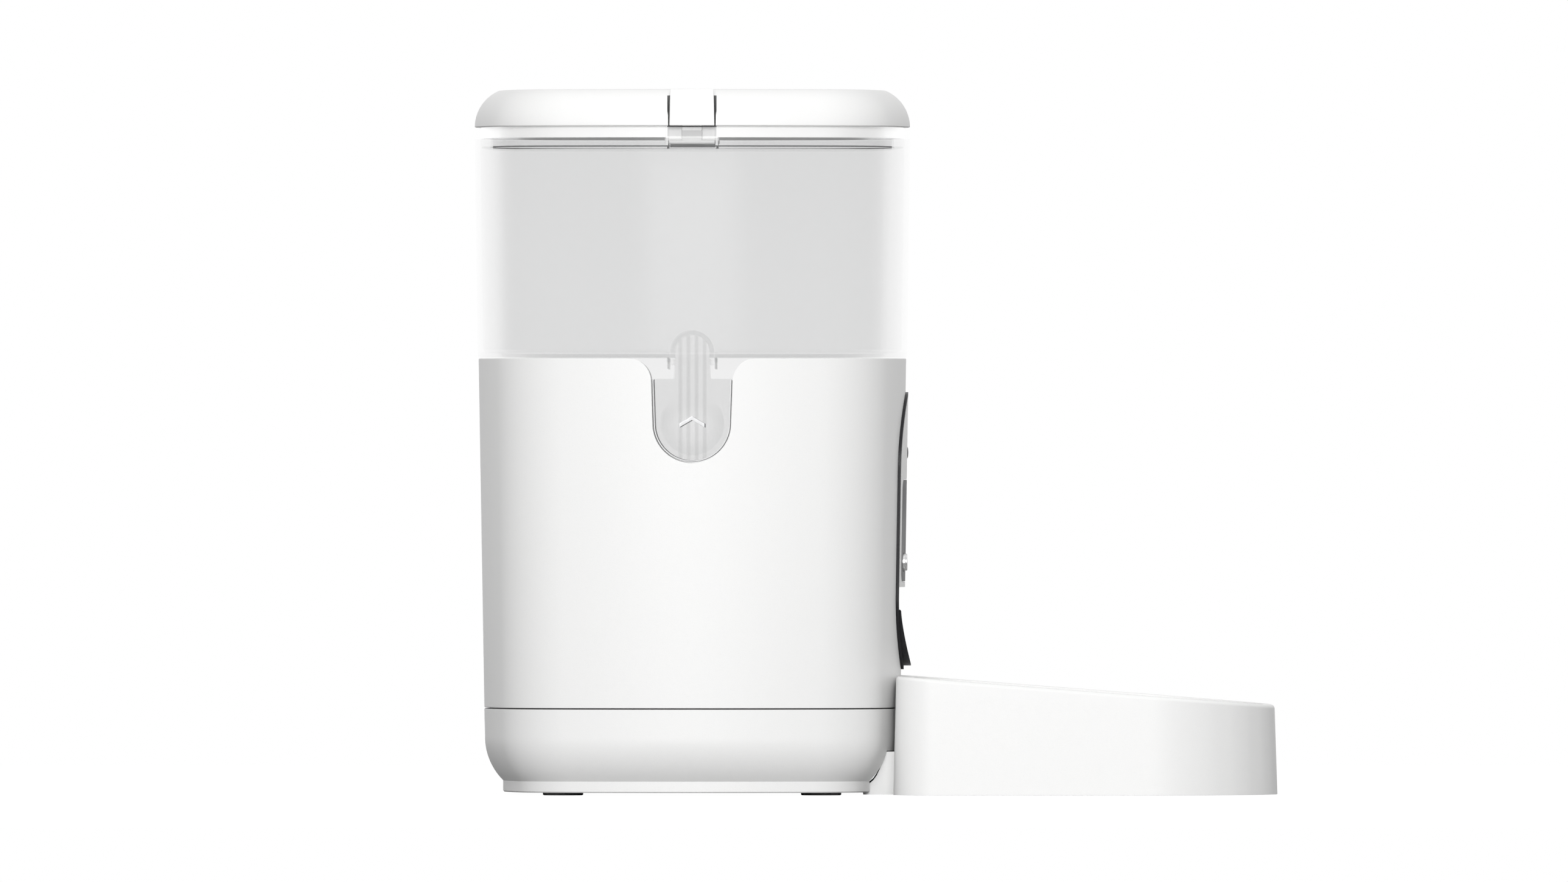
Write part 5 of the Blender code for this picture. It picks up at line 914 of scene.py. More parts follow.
def clear_bin():
    """Smoky clear plastic, clearest at its rim and funnel and darkest at its foot and the tabs' necks."""
    plan, notch, food, paints = sizes("plan", "notch", "food", "paints")
    made, cover = see_through("clear_bin", paints.clear, paints.clear_cover, 0.03)
    across, z = abs(made.along("Y") - plan.axis), made.along("Z")
    polish = made.span(z, plan.bin_top - 0.0052, plan.bin_top - 0.0046, 1.0, 0.10)
    reach = across.length((z - neck_centre()).most(0.0))
    pocket = notch.neck_top + food.band
    wall = made.above(z, plan.bin_low)
    foot = made.below(z, plan.bin_low + 0.0025, 0.0002) * made.above(reach, pocket + SEAT_GAP)
    bands = (made.within(reach, notch.neck_top, pocket) + foot) * wall
    open_view = made.below(reach, notch.neck_top).most(1.0 - wall)
    ears = made.within(across, food.ear - 0.0002, food.ear + food.ear_width + 0.0002)
    ears = ears * made.above(abs(made.along("X")), plan.half - 0.0100) * (1.0 - wall)
    made.set(Alpha=cover * polish * (1.0 + bands * 0.38 - open_view * 0.58 + ears * 1.2))
    return made


def clear_tab():
    """Clear plastic with darker upright ribs, painted shade round the dimple with a painted highlight in its
    middle, a white mark, and a painted shade outline with a painted highlight line along its edge.
    """
    plan, notch, paints = sizes("plan", "notch", "paints")
    made, cover = see_through("clear_tab", paints.clear, paints.tab_cover, 0.30)
    across, z = abs(made.along("Y") - plan.axis), made.along("Z")
    pitch = notch.rib_pitch
    near_rib = across.math("PINGPONG", across, pitch / 2)
    ribs = made.above(near_rib, (pitch - notch.rib_width) / 2) * made.below(across, pitch * notch.ribs / 2)
    foot = plan.housing_top - notch.depth + notch.low_half
    slope = (notch.top_half - notch.low_half) / (notch.depth - notch.low_half - notch.fillet)
    edge = (z - foot).most(0.0) * slope + (notch.low_half - notch.gap) - across.length((z - foot).least(0.0))
    shoulder = plan.housing_top - notch.shoulder
    body, outline_in, line_in = made.below(z, shoulder), 0.00022, 0.00062
    # Painted shade: a dark outline along the tab's edge, where the gap round it lies in shade, and a painted
    # highlight line just inside it.
    outline = made.below(edge, outline_in) * body
    line = made.within(edge, outline_in, line_in) * body
    dimple_z = plan.housing_top - notch.dimple_drop
    reach = across.length(z - dimple_z)
    # Painted shade round the dimple's rim, fading upwards, and a painted highlight in its middle, both made by
    # how much the clear plastic covers.
    dish = made.span(reach, notch.dimple * 0.45, notch.dimple * 0.98, 0.0, 1.0)
    fade = made.span(z, dimple_z + 0.0020, dimple_z + 0.0110, 1.0, 0.0)
    dish = dish * made.below(reach, notch.dimple, 0.0003) * fade
    middle = made.span(reach, 0.0, notch.dimple * 0.75, 1.0, 0.0)
    rise = notch.chevron_rise * 2 / notch.chevron
    crown = dimple_z + notch.chevron_rise / 2 + notch.chevron_stroke / 2
    mark = made.below(abs(z + across * rise - crown), notch.chevron_stroke * 0.6)
    mark = mark * made.below(across, notch.chevron / 2)
    pin = made.above(across, notch.neck_low + 0.0002) * made.above(z, shoulder + 0.0004)
    # Painted shade on the outline, painted highlight on the edge line; the chevron keeps its own white.
    made.tint(outline, paints.painted_gap_shade)
    made.tint(line.most(mark), paints.glow)
    shares = ribs * 0.85 + dish * 0.50 - middle * 0.36 - pin * 0.70
    made.set(Alpha=cover * (1.0 + shares) + outline * 0.35 + line * 0.50 + mark * 0.70)
    return made


def clear_seal():
    """Clear silicone."""
    made, cover = see_through("clear_seal", sizes("paints").glow, 0.05, 0.10)
    made.set(Alpha=cover)
    return made


def black_trim():
    black = sizes("paints").black
    made = Finish("black_trim", black, 0.36, Specular_IOR_Level=0.14)
    grain = made.noise(2200.0)
    made.tint(made.span(made.noise(60.0, 3.0), 0.5, 0.8, 0.0, 0.5), shade(black, 1.6))
    made.set(Roughness=made.span(grain, 0.3, 0.7, 0.30, 0.46))
    made.relief(grain, 0.00004, 0.5)
    return made


def smoked_screen():
    smoke = sizes("paints").smoke
    made = Finish("smoked_screen", smoke, 0.45, Specular_IOR_Level=0.12)
    smear = made.noise(45.0, 3.0)
    made.tint(made.span(smear, 0.45, 0.8, 0.0, 0.5), shade(smoke, 1.15))
    made.set(Roughness=made.span(smear, 0.3, 0.7, 0.40, 0.52))
    return made


def metal(name, colour, roughness, scale, stretch):
    """Metal with drawn or beaten lines, which a stretch lays along an axis."""
    made = Finish(name, colour, roughness, Metallic=1.0)
    line = made.noise(scale, 2.0, made.stretched(*stretch))
    made.tint(made.span(line, 0.35, 0.75, 0.0, 0.5), shade(colour, 0.93))
    made.set(Roughness=made.span(line, 0.3, 0.7, roughness - 0.04, roughness + 0.05))
    made.relief(line, 0.00001, 0.12)
    return made


def bare_steel():
    return metal("bare_steel", sizes("paints").steel, 0.27, 3200.0, (1.0, 0.05, 1.0))


def silver_trim():
    return metal("silver_trim", sizes("paints").silver, 0.30, 2400.0, (1.0, 1.0, 1.0))


def motor_can():
    return metal("motor_can", sizes("paints").motor, 0.34, 1200.0, (1.0, 1.0, 0.08))


def soft(name, colour, roughness, grain_scale, depth):
    """Matt grained plastic or rubber."""
    made = Finish(name, colour, roughness)
    grain = made.noise(grain_scale, 3.0)
    made.tint(made.span(grain, 0.45, 0.75, 0.0, 0.6), shade(colour, 0.82))
    made.set(Roughness=made.span(grain, 0.3, 0.7, roughness - 0.08, min(1.0, roughness + 0.08)))
    made.relief(grain, depth, 0.6)
    return made


def soft_rubber():
    return soft("soft_rubber", sizes("paints").rubber, 0.82, 1500.0, 0.00008)


def soft_silicone():
    return soft("soft_silicone", sizes("paints").silicone, 0.55, 700.0, 0.00004)


def grey_inner():
    return soft("grey_inner", sizes("paints").grey, 0.55, 1800.0, 0.00005)


def cell_sleeve():
    return soft("cell_sleeve", sizes("paints").sleeve, 0.32, 300.0, 0.00003)


def board_green():
    """Solder mask over copper tracks."""
    board = sizes("paints").board
    made = Finish("board_green", board, 0.38)
    track = made.node("ShaderNodeTexVoronoi", {"Vector": made.place, "Scale": 260.0}, distance="MANHATTAN")
    made.tint(made.span(track, 0.30, 0.42, 0.5, 0.0), shade(board, 1.9))
    made.relief(track, 0.00003, 0.5)
    return made


MAKERS = {
    "white": white_shell, "clear": clear_bin, "black": black_trim, "smoke": smoked_screen,
    "steel": bare_steel, "silver": silver_trim, "motor": motor_can, "rubber": soft_rubber,
    "silicone": soft_silicone, "board": board_green, "grey": grey_inner, "sleeve": cell_sleeve,
    "tab": clear_tab, "base": white_base, "lid": white_lid, "latch": white_latch, "seal": clear_seal,
}


def material(finish):
    if finish not in MADE:
        MADE[finish] = MAKERS[finish]().material
    return MADE[finish]


# Pieces


class FEEDER_OT_base(bpy.types.Operator):
    """Model the rounded base with its plinth, lap rim, posts, tongue recess and inlet recess"""
    bl_idname = "feeder.base"
    bl_label = "Base shell"

    def levels(self, inset):
        """Section of the base from its foot to its brim, drawn in by an inset."""
        plan, base = sizes("plan", "base")
        edge_top = plan.base_low + base.plinth + base.edge * math.sin(base.sweep)
        centre, reach = wall_half(edge_top) - base.edge, base.edge - inset
        rounds = [
            (centre + reach * math.cos(turn), edge_top - reach * math.sin(turn))
            for turn in reversed(turns(14, base.sweep))
        ]
        brim = (wall_half(plan.base_top) - inset, plan.base_top)
        return [(rounds[0][0], plan.base_low + inset)] + rounds + [brim]

    def execute(self, context):
        plan, base = sizes("plan", "base")
        outside, inside = self.levels(0), self.levels(plan.wall)
        (foot_half, foot), (brim_half, brim) = outside[0], outside[-1]
        outside[0:1] = [(foot_half - 0.0005, foot), (foot_half, foot + 0.0005)]
        outside[-1:] = [(brim_half, brim - 0.0003), (brim_half - 0.0003, brim)]
        lap_out = wall_half(plan.housing_low) - plan.wall - RUN_GAP
        lap_in = lap_out - base.lap_wall
        section = outside + [
            (lap_out, brim), (lap_out, brim + base.lap), (lap_in, brim + base.lap), (lap_in, brim - base.lap),
            (inside[-1][0], brim - base.lap - base.lap_wall),
        ] + inside[-2::-1]
        piece = skin("base_body", plan_rings(section), cap_first=True, cap_last=True)
        half, front, back = base.recess_half, plan.axis - plan.half - OVERRUN, plan.axis - base.recess_back
        walls = block(
            "recess_walls", (-half - base.recess_wall, front, -OVERRUN),
            (half + base.recess_wall, back + base.recess_wall, base.recess_top + base.recess_wall),
        )
        core = skin("base_core", plan_rings(self.levels(plan.wall / 2)), cap_first=True, cap_last=True)
        join(piece, combine(walls, [core], "INTERSECT"))
        post_top = level("inner_chassis", True) - base.deck - SEAT_GAP
        tools = []
        for x, y in ((x, y) for x in (-base.post, base.post) for y in (-base.post, base.post)):
            low = about_axis(x, y, plan.base_low + plan.wall - 0.0005)
            join(piece, rod("post", low, about_axis(x, y, post_top), base.post_radius, 32))
            tools.append(rod(
                "foot_pocket", about_axis(x, y, plan.base_low - OVERRUN),
                about_axis(x, y, plan.base_low + base.foot_sink), base.foot_radius + SEAT_GAP, 48,
            ))
        tools.append(block("tongue_recess", (-half, front, -OVERRUN), (half, back, base.recess_top)))
        low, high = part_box("battery_door")
        tools.append(block(
            "battery_opening", (low.x - RUN_GAP, low.y - RUN_GAP, plan.base_low - OVERRUN),
            (high.x + RUN_GAP, high.y + RUN_GAP, plan.base_low + plan.wall + OVERRUN),
        ))
        rear = wall_half(base.inlet_level) + plan.axis
        inner = rear - base.inlet_depth
        join(piece, rod(
            "inlet_sleeve", (0, inner, base.inlet_level), (0, rear - plan.wall / 2, base.inlet_level),
            base.inlet_radius + base.sleeve_wall, 48,
        ))
        tools.append(rod(
            "inlet_recess", (0, inner - OVERRUN, base.inlet_level), (0, rear + OVERRUN, base.inlet_level),
            base.inlet_radius, 48,
        ))
        cut(piece, *tools)
        done(piece, "base", "base_shell")
        return {"FINISHED"}


def notch_outline():
    """Side notch with its flared top corners, open above."""
    plan, notch = sizes("plan", "notch")
    flare, top = notch.top_half + notch.fillet, plan.housing_top
    left = arc((-flare, top - notch.fillet), notch.fillet, math.pi / 2, 0, 14)
    foot = arc((0, top - notch.depth + notch.low_half), notch.low_half, math.pi, 2 * math.pi, 40)
    right = arc((flare, top - notch.fillet), notch.fillet, math.pi, math.pi / 2, 14)
    return [(-flare, top + OVERRUN)] + left + foot + right + [(flare, top + OVERRUN)]


class FEEDER_OT_housing(bpy.types.Operator):
    """Model the tall white housing with its side notches, panel opening and grille"""
    bl_idname = "feeder.housing"
    bl_label = "Main housing"

    def execute(self, context):
        plan, panel = sizes("plan", "panel")
        low, top, edge = plan.housing_low, plan.housing_top, plan.soft_edge
        section = [
            (wall_half(low) - edge * (1 - math.sin(turn)), low + edge * (1 - math.cos(turn)))
            for turn in turns(3)
        ]
        section += [(wall_half(z), z) for z in between(low, top, 8)]
        section += [
            (wall_half(top) - edge * (1 - math.cos(turn)), top - edge * (1 - math.sin(turn)))
            for turn in turns(3)
        ]
        section += [(wall_half(top) - plan.wall, top), (wall_half(low) - plan.wall, low)]
        piece = skin("housing_body", plan_rings(section), closed=True)
        reach = plan.half + OVERRUN
        tools = [slab("notches", [(y + plan.axis, z) for y, z in notch_outline()], -reach, reach, "YZ")]
        tools.append(slab(
            "panel_opening", capsule(panel.half + SEAT_GAP, panel.low - SEAT_GAP, panel.top + SEAT_GAP),
            plan.axis - reach, front_y(panel.half, panel.low, plan.wall + OVERRUN),
        ))
        middle, inner = low + plan.grille_rise, plan.axis + wall_half(low) - plan.wall - 2 * OVERRUN
        slot = capsule(plan.slot_half, middle - plan.slot_reach, middle + plan.slot_reach, 10)
        for place in range(-2, 3):
            outline = [(x + place * plan.slot_pitch, z) for x, z in slot]
            tools.append(slab("grille_slot", outline, inner, plan.axis + reach))
        cut(piece, *tools)
        soften(piece, 0.0003, 2, 55)
        done(piece, "white", "main_housing")
        return {"FINISHED"}


def neck_centre():
    """Level of the middle of the arch over a tab's neck."""
    plan, notch = sizes("plan", "notch")
    return plan.bin_low + notch.neck_rise - notch.neck_top


def arch_outline(half, low):
    return [(half, low)] + arc((0, neck_centre()), half, 0, math.pi, 32) + [(-half, low)]


class FEEDER_OT_bin(bpy.types.Operator):
    """Model the clear food bin with its funnel, neck pockets, ears and latch windows"""
    bl_idname = "feeder.bin"
    bl_label = "Food bin"

    def funnel(self, inset):
        """Rings of the funnel from its mouth up, drawn in square to its slope."""
        plan, food = sizes("plan", "food")
        top_half, drop = plan.bin_low_half - food.funnel_inset, plan.bin_low - food.mouth_low
        stations = [(1.0, 1.0)]
        for step in range(14, -1, -1):
            share = step / 14
            stations.append((0.10 + 0.84 * share, 0.12 + 0.88 * share * share * (3 - 2 * share)))
        stations.append((0.0, 0.0))
        places = [
            Vector((top_half + (food.mouth - top_half) * share, plan.bin_low - drop * fall))
            for fall, share in stations
        ]
        rings = []
        for step, (fall, share) in enumerate(stations):
            slope = (places[min(len(places) - 1, step + 1)] - places[max(0, step - 1)]).normalized()
            across, up = (inset * slope.y, inset * slope.x) if step else (inset, 0)
            outline = blended(plan_outline(top_half - across), round_outline(food.mouth - across), share)
            rings.append(ring(outline, places[step].y + up))
        return rings

    def outside(self):
        """Rings from the funnel's mouth up to the rim."""
        plan, food = sizes("plan", "food")
        section = [(
            plan.bin_low_half - food.edge * (1 - math.sin(turn)),
            plan.bin_low + food.edge * (1 - math.cos(turn)),
        ) for turn in turns(3)]
        section += [(bin_half(z), z) for z in between(plan.bin_low, plan.bin_top, 8) + [plan.bin_top]]
        return self.funnel(0) + plan_rings(section)

    def inside(self):
        """Rings from the rim down to the funnel's mouth."""
        plan, food = sizes("plan", "food")
        floor, fillet = plan.bin_low + food.wall, food.wall / 2
        section = [
            (bin_half(plan.bin_top) - food.wall, plan.bin_top),
            (bin_half(floor + fillet) - food.wall, floor + fillet),
            (bin_half(floor) - food.wall - fillet, floor),
        ]
        return plan_rings(section) + self.funnel(food.wall)[::-1]

    def execute(self, context):
        plan, notch, food = sizes("plan", "notch", "food")
        piece = skin("bin_body", self.outside() + self.inside(), closed=True)
        pocket_half, deep = notch.neck_top + food.band, food.pocket + food.backing
        middle = plan.bin_low + food.wall / 2
        for side, heading in SIDES:
            arch = arch_outline(pocket_half + food.backing, middle)
            join(piece, lay_on_wall(slab("pocket_back", arch, food.wall / 2, deep), heading))
            for way in (-1, 1):
                inner, outer = sorted((way * food.ear, way * (food.ear + food.ear_width)))
                outline = box_outline((inner, plan.bin_low - food.ear_drop), (outer, middle))
                join(piece, lay_on_wall(slab("ear", outline, RUN_GAP, deep), heading, None))
            pocket = slab(
                "neck_pocket", arch_outline(pocket_half, plan.bin_low - OVERRUN),
                -plan.bin_low_half + plan.half - OVERRUN, food.pocket,
            )
            cut(piece, lay_on_wall(pocket, heading))
        reach, high = plan.bin_top_half + OVERRUN, plan.bin_top - food.window_drop
        cut(piece, block(
            "latch_windows", about_axis(-reach, -food.window_half, high - food.window_height),
            about_axis(reach, food.window_half, high),
        ))
        done(piece, "clear", "food_hopper")
        return {"FINISHED"}


class FEEDER_OT_tabs(bpy.types.Operator):
    """Model the two clear press tabs with their ribs, dimple and chevron"""
    bl_idname = "feeder.tabs"
    bl_label = "Release tabs"

    def outline(self, centre_z, low_half):
        """Round foot, sloping sides, shoulders and an arched neck."""
        plan, notch = sizes("plan", "notch")
        shoulder, arch = plan.housing_top - notch.shoulder, neck_centre()
        rise = (shoulder - centre_z) / (plan.housing_top - notch.fillet - centre_z)
        top_half = low_half + (notch.top_half - notch.low_half) * rise
        right = filleted(
            [(top_half, centre_z), (top_half, shoulder), (notch.neck_low, shoulder), (notch.neck_top, arch)],
            [0, notch.corner, notch.corner, 0], 5,
        )[1:-1]
        foot = arc((0, centre_z), low_half, math.pi, 2 * math.pi, 40)
        head = arc((0, arch), notch.neck_top, 0, math.pi, 32)
        return foot + right + head + [(-x, z) for x, z in reversed(right)]

    def chevron(self, middle):
        notch = sizes("notch")
        half, stroke = notch.chevron / 2, notch.chevron_stroke
        low, high = middle - notch.chevron_rise / 2, middle + notch.chevron_rise / 2
        lower = [(-half, low), (0, high), (half, low)]
        return filleted(lower + [(x, z + stroke) for x, z in reversed(lower)], [0.0003] * 6, 3)

    def dish(self):
        """Profile of the tool that presses a shallow round dimple."""
        notch = sizes("notch")
        bowl = (notch.dimple ** 2 + notch.dimple_depth ** 2) / (2 * notch.dimple_depth)
        radii = [0, *between(0, notch.dimple + OVERRUN, 12), notch.dimple + OVERRUN]
        top = bowl - notch.dimple_depth
        profile = [(radius, top - math.sqrt(bowl ** 2 - radius ** 2)) for radius in radii]
        return profile + [(0, profile[-1][1])]

    def execute(self, context):
        plan, notch, food = sizes("plan", "notch", "food")
        centre_z, low_half = plan.housing_top - notch.depth + notch.low_half, notch.low_half - notch.gap
        outline, dimple_z = self.outline(centre_z, low_half), plan.housing_top - notch.dimple_drop
        floor, back = notch.dimple_depth, notch.thickness + notch.rib_depth
        axle, pivot_z = back / 2, plan.housing_top - notch.pivot
        for side, heading in SIDES:
            tab = slab("tab_body_" + side, outline, 0, notch.thickness)
            cut(tab, turned("dimple", self.dish(), (0, 0, dimple_z), (0, -1, 0)))
            join(tab, slab("chevron", self.chevron(dimple_z), floor - 0.0003, floor + 0.0003))
            soften(tab, 0.00025)
            for place in range(notch.ribs):
                x = (place - (notch.ribs - 1) / 2) * notch.rib_pitch
                low = centre_z - math.sqrt(low_half ** 2 - x ** 2) + notch.rib_foot
                high = neck_centre() + notch.neck_top / 2
                rib = box_outline((x - notch.rib_width / 2, low), (x + notch.rib_width / 2, high), 0.0003, 3)
                join(tab, slab("rib", rib, notch.thickness - 0.0004, back))
            end = food.ear - 0.0003
            join(tab, rod("axle", (-end, axle, pivot_z), (end, axle, pivot_z), notch.axle))
            done(lay_on_wall(tab, heading), "tab", "release_tab_" + side)
        return {"FINISHED"}


class FEEDER_OT_lid(bpy.types.Operator):
    """Model the round-edged lid with its plug skirt, seal rib, latch pockets and seal"""
    bl_idname = "feeder.lid"
    bl_label = "Lid"

    def section(self, skirt, rib):
        """From the middle of the ceiling down over rib and skirt, then up over the round edge to the top."""
        plan, lid = sizes("plan", "lid")
        centre, reach = plan.lid_half - lid.edge, lid.edge - lid.wall
        height, low = plan.lid_top - plan.lid_low, plan.lid_low

        def ceiling(half):
            return (half, low + math.sqrt(max(0.0, reach ** 2 - (half - centre) ** 2)))

        rib_in, skirt_in = rib - lid.rib_wall, skirt - lid.skirt_wall
        points = [
            ceiling(centre + math.sqrt(reach ** 2 - (height - lid.wall) ** 2)), ceiling(rib_in),
            (rib_in, low - lid.rib_drop), (rib, low - lid.rib_drop), ceiling(rib), ceiling(skirt_in),
            (skirt_in, low - lid.skirt_drop), (skirt, low - lid.skirt_drop), (skirt, low),
            (plan.lid_half - 0.0003, low), (plan.lid_half, low + 0.0003),
        ]
        points += [
            (centre + lid.edge * math.cos(turn), low + lid.edge * math.sin(turn))
            for turn in turns(28, math.asin(height / lid.edge))[1:]
        ]
        return points + [(points[-1][0] - 0.004 * step, plan.lid_top) for step in (1, 2, 3)]

    def seal(self, rib):
        """Clear ring that hangs from the rib, with a lip that leans out to the bin's wall."""
        plan, lid, food = sizes("plan", "lid", "food")
        top, low, wall = plan.lid_low - lid.rib_drop + 0.0012, level("lid_seal", False), lid.seal_wall
        lip, inner = bin_half(low) - food.wall - lid.seal_gap, rib + SEAT_GAP
        piece = skin("seal_body", plan_rings([
            (inner + wall, top), (inner, top), (inner, low), (lip, low + wall), (lip, low + 1.6 * wall),
            (inner + wall, low + wall),
        ]), closed=True)
        done(piece, "seal", "lid_seal")

    def execute(self, context):
        plan, lid, food = sizes("plan", "lid", "food")
        skirt, rib = plan.bin_top_half - food.wall - lid.skirt_gap, plan.lid_half - lid.rib_inset
        piece = skin("lid_body", plan_rings(self.section(skirt, rib)), cap_first=True, cap_last=True)
        back_half, wall, low = lid.notch_top + 0.0012, lid.notch_wall, plan.lid_low
        face = -plan.lid_half + lid.notch_inset
        for side, heading in SIDES:
            parts = [block(
                "latch_back", (-back_half, face - SEAT_GAP, low - lid.notch_drop),
                (back_half, face + wall, low + lid.notch_rise + wall),
            )]
            for way in (-1, 1):
                inner, outer = sorted((way * lid.ear, way * (lid.ear + lid.ear_width)))
                parts.append(block(
                    "latch_ear", (inner, SEAT_GAP - skirt, low - lid.ear_drop),
                    (outer, face + wall / 2, low + lid.wall),
                ))
            join(piece, *[turn_about_axis(part, heading) for part in parts])
            under, over = low - lid.ear_drop - OVERRUN, plan.lid_top + OVERRUN
            notch = slab("latch_notch", [
                (-lid.notch_low, under), (lid.notch_low, under),
                (lid.notch_top, over), (-lid.notch_top, over),
            ], -plan.lid_half - OVERRUN, face)
            cut(piece, turn_about_axis(notch, heading))
        soften(piece, 0.00025, 2, 60)
        done(piece, "lid", "lid_shell")
        self.seal(rib)
        return {"FINISHED"}


class FEEDER_OT_latches(bpy.types.Operator):
    """Model the two rocking latches of the lid"""
    bl_idname = "feeder.latches"
    bl_label = "Lid latches"

    def execute(self, context):
        plan, lid, food = sizes("plan", "lid", "food")
        pivot_y = -plan.lid_half + lid.leg_inset + lid.leg_thickness / 2
        pivot_z = plan.lid_low - lid.pivot_drop
        low, top = plan.lid_low + 0.0001, level("lid_latch_left", True)
        outer_low, leg_out = -plan.lid_half + 0.0003, -plan.lid_half + lid.leg_inset
        outer_top, leg_in = outer_low + lid.lean, leg_out + lid.leg_thickness
        paddle = filleted([
            (outer_low, low), (leg_in, low), (outer_top + lid.paddle, top), (outer_top, top),
            (outer_low, (low + top) / 2),
        ], [0.0003, 0, 0.0006, 0.0008, 0.006], 6)
        hook_reach = -(plan.bin_top_half - food.wall) + lid.skirt_gap
        hook_top = plan.lid_low - lid.hook_drop + lid.hook
        leg = [
            (leg_out, pivot_z), (leg_in, pivot_z), (leg_in, low + plan.wall), (leg_out, low + plan.wall),
            (leg_out, hook_top), (hook_reach, hook_top), (leg_out, hook_top - lid.hook),
        ]
        bar = lid.ear - RUN_GAP
        for side, heading in SIDES:
            piece = slab("latch_body_" + side, paddle, -lid.latch_low, lid.latch_low, "YZ")
            for vert in piece.data.vertices:
                vert.co.x *= 1 + (lid.latch_top / lid.latch_low - 1) * (vert.co.z - low) / (top - low)
            soften(piece, 0.0003, 3)
            join(piece, slab("latch_leg", leg, -lid.leg_half, lid.leg_half, "YZ"))
            join(piece, rod("latch_bar", (-bar, pivot_y, pivot_z), (bar, pivot_y, pivot_z), lid.bar))
            done(turn_about_axis(piece, heading), "latch", "lid_latch_" + side)
        return {"FINISHED"}


def screen_outline(inset):
    panel = sizes("panel")
    half = panel.screen_half - inset
    return box_outline(
        (-half, panel.screen_low + inset), (half, panel.screen_low + panel.screen_height - inset),
        panel.screen_corner - inset, 10,
    )


def key_centres():
    panel = sizes("panel")
    return [(place * panel.key_pitch, panel.key_level) for place in (-1, 0, 1)]


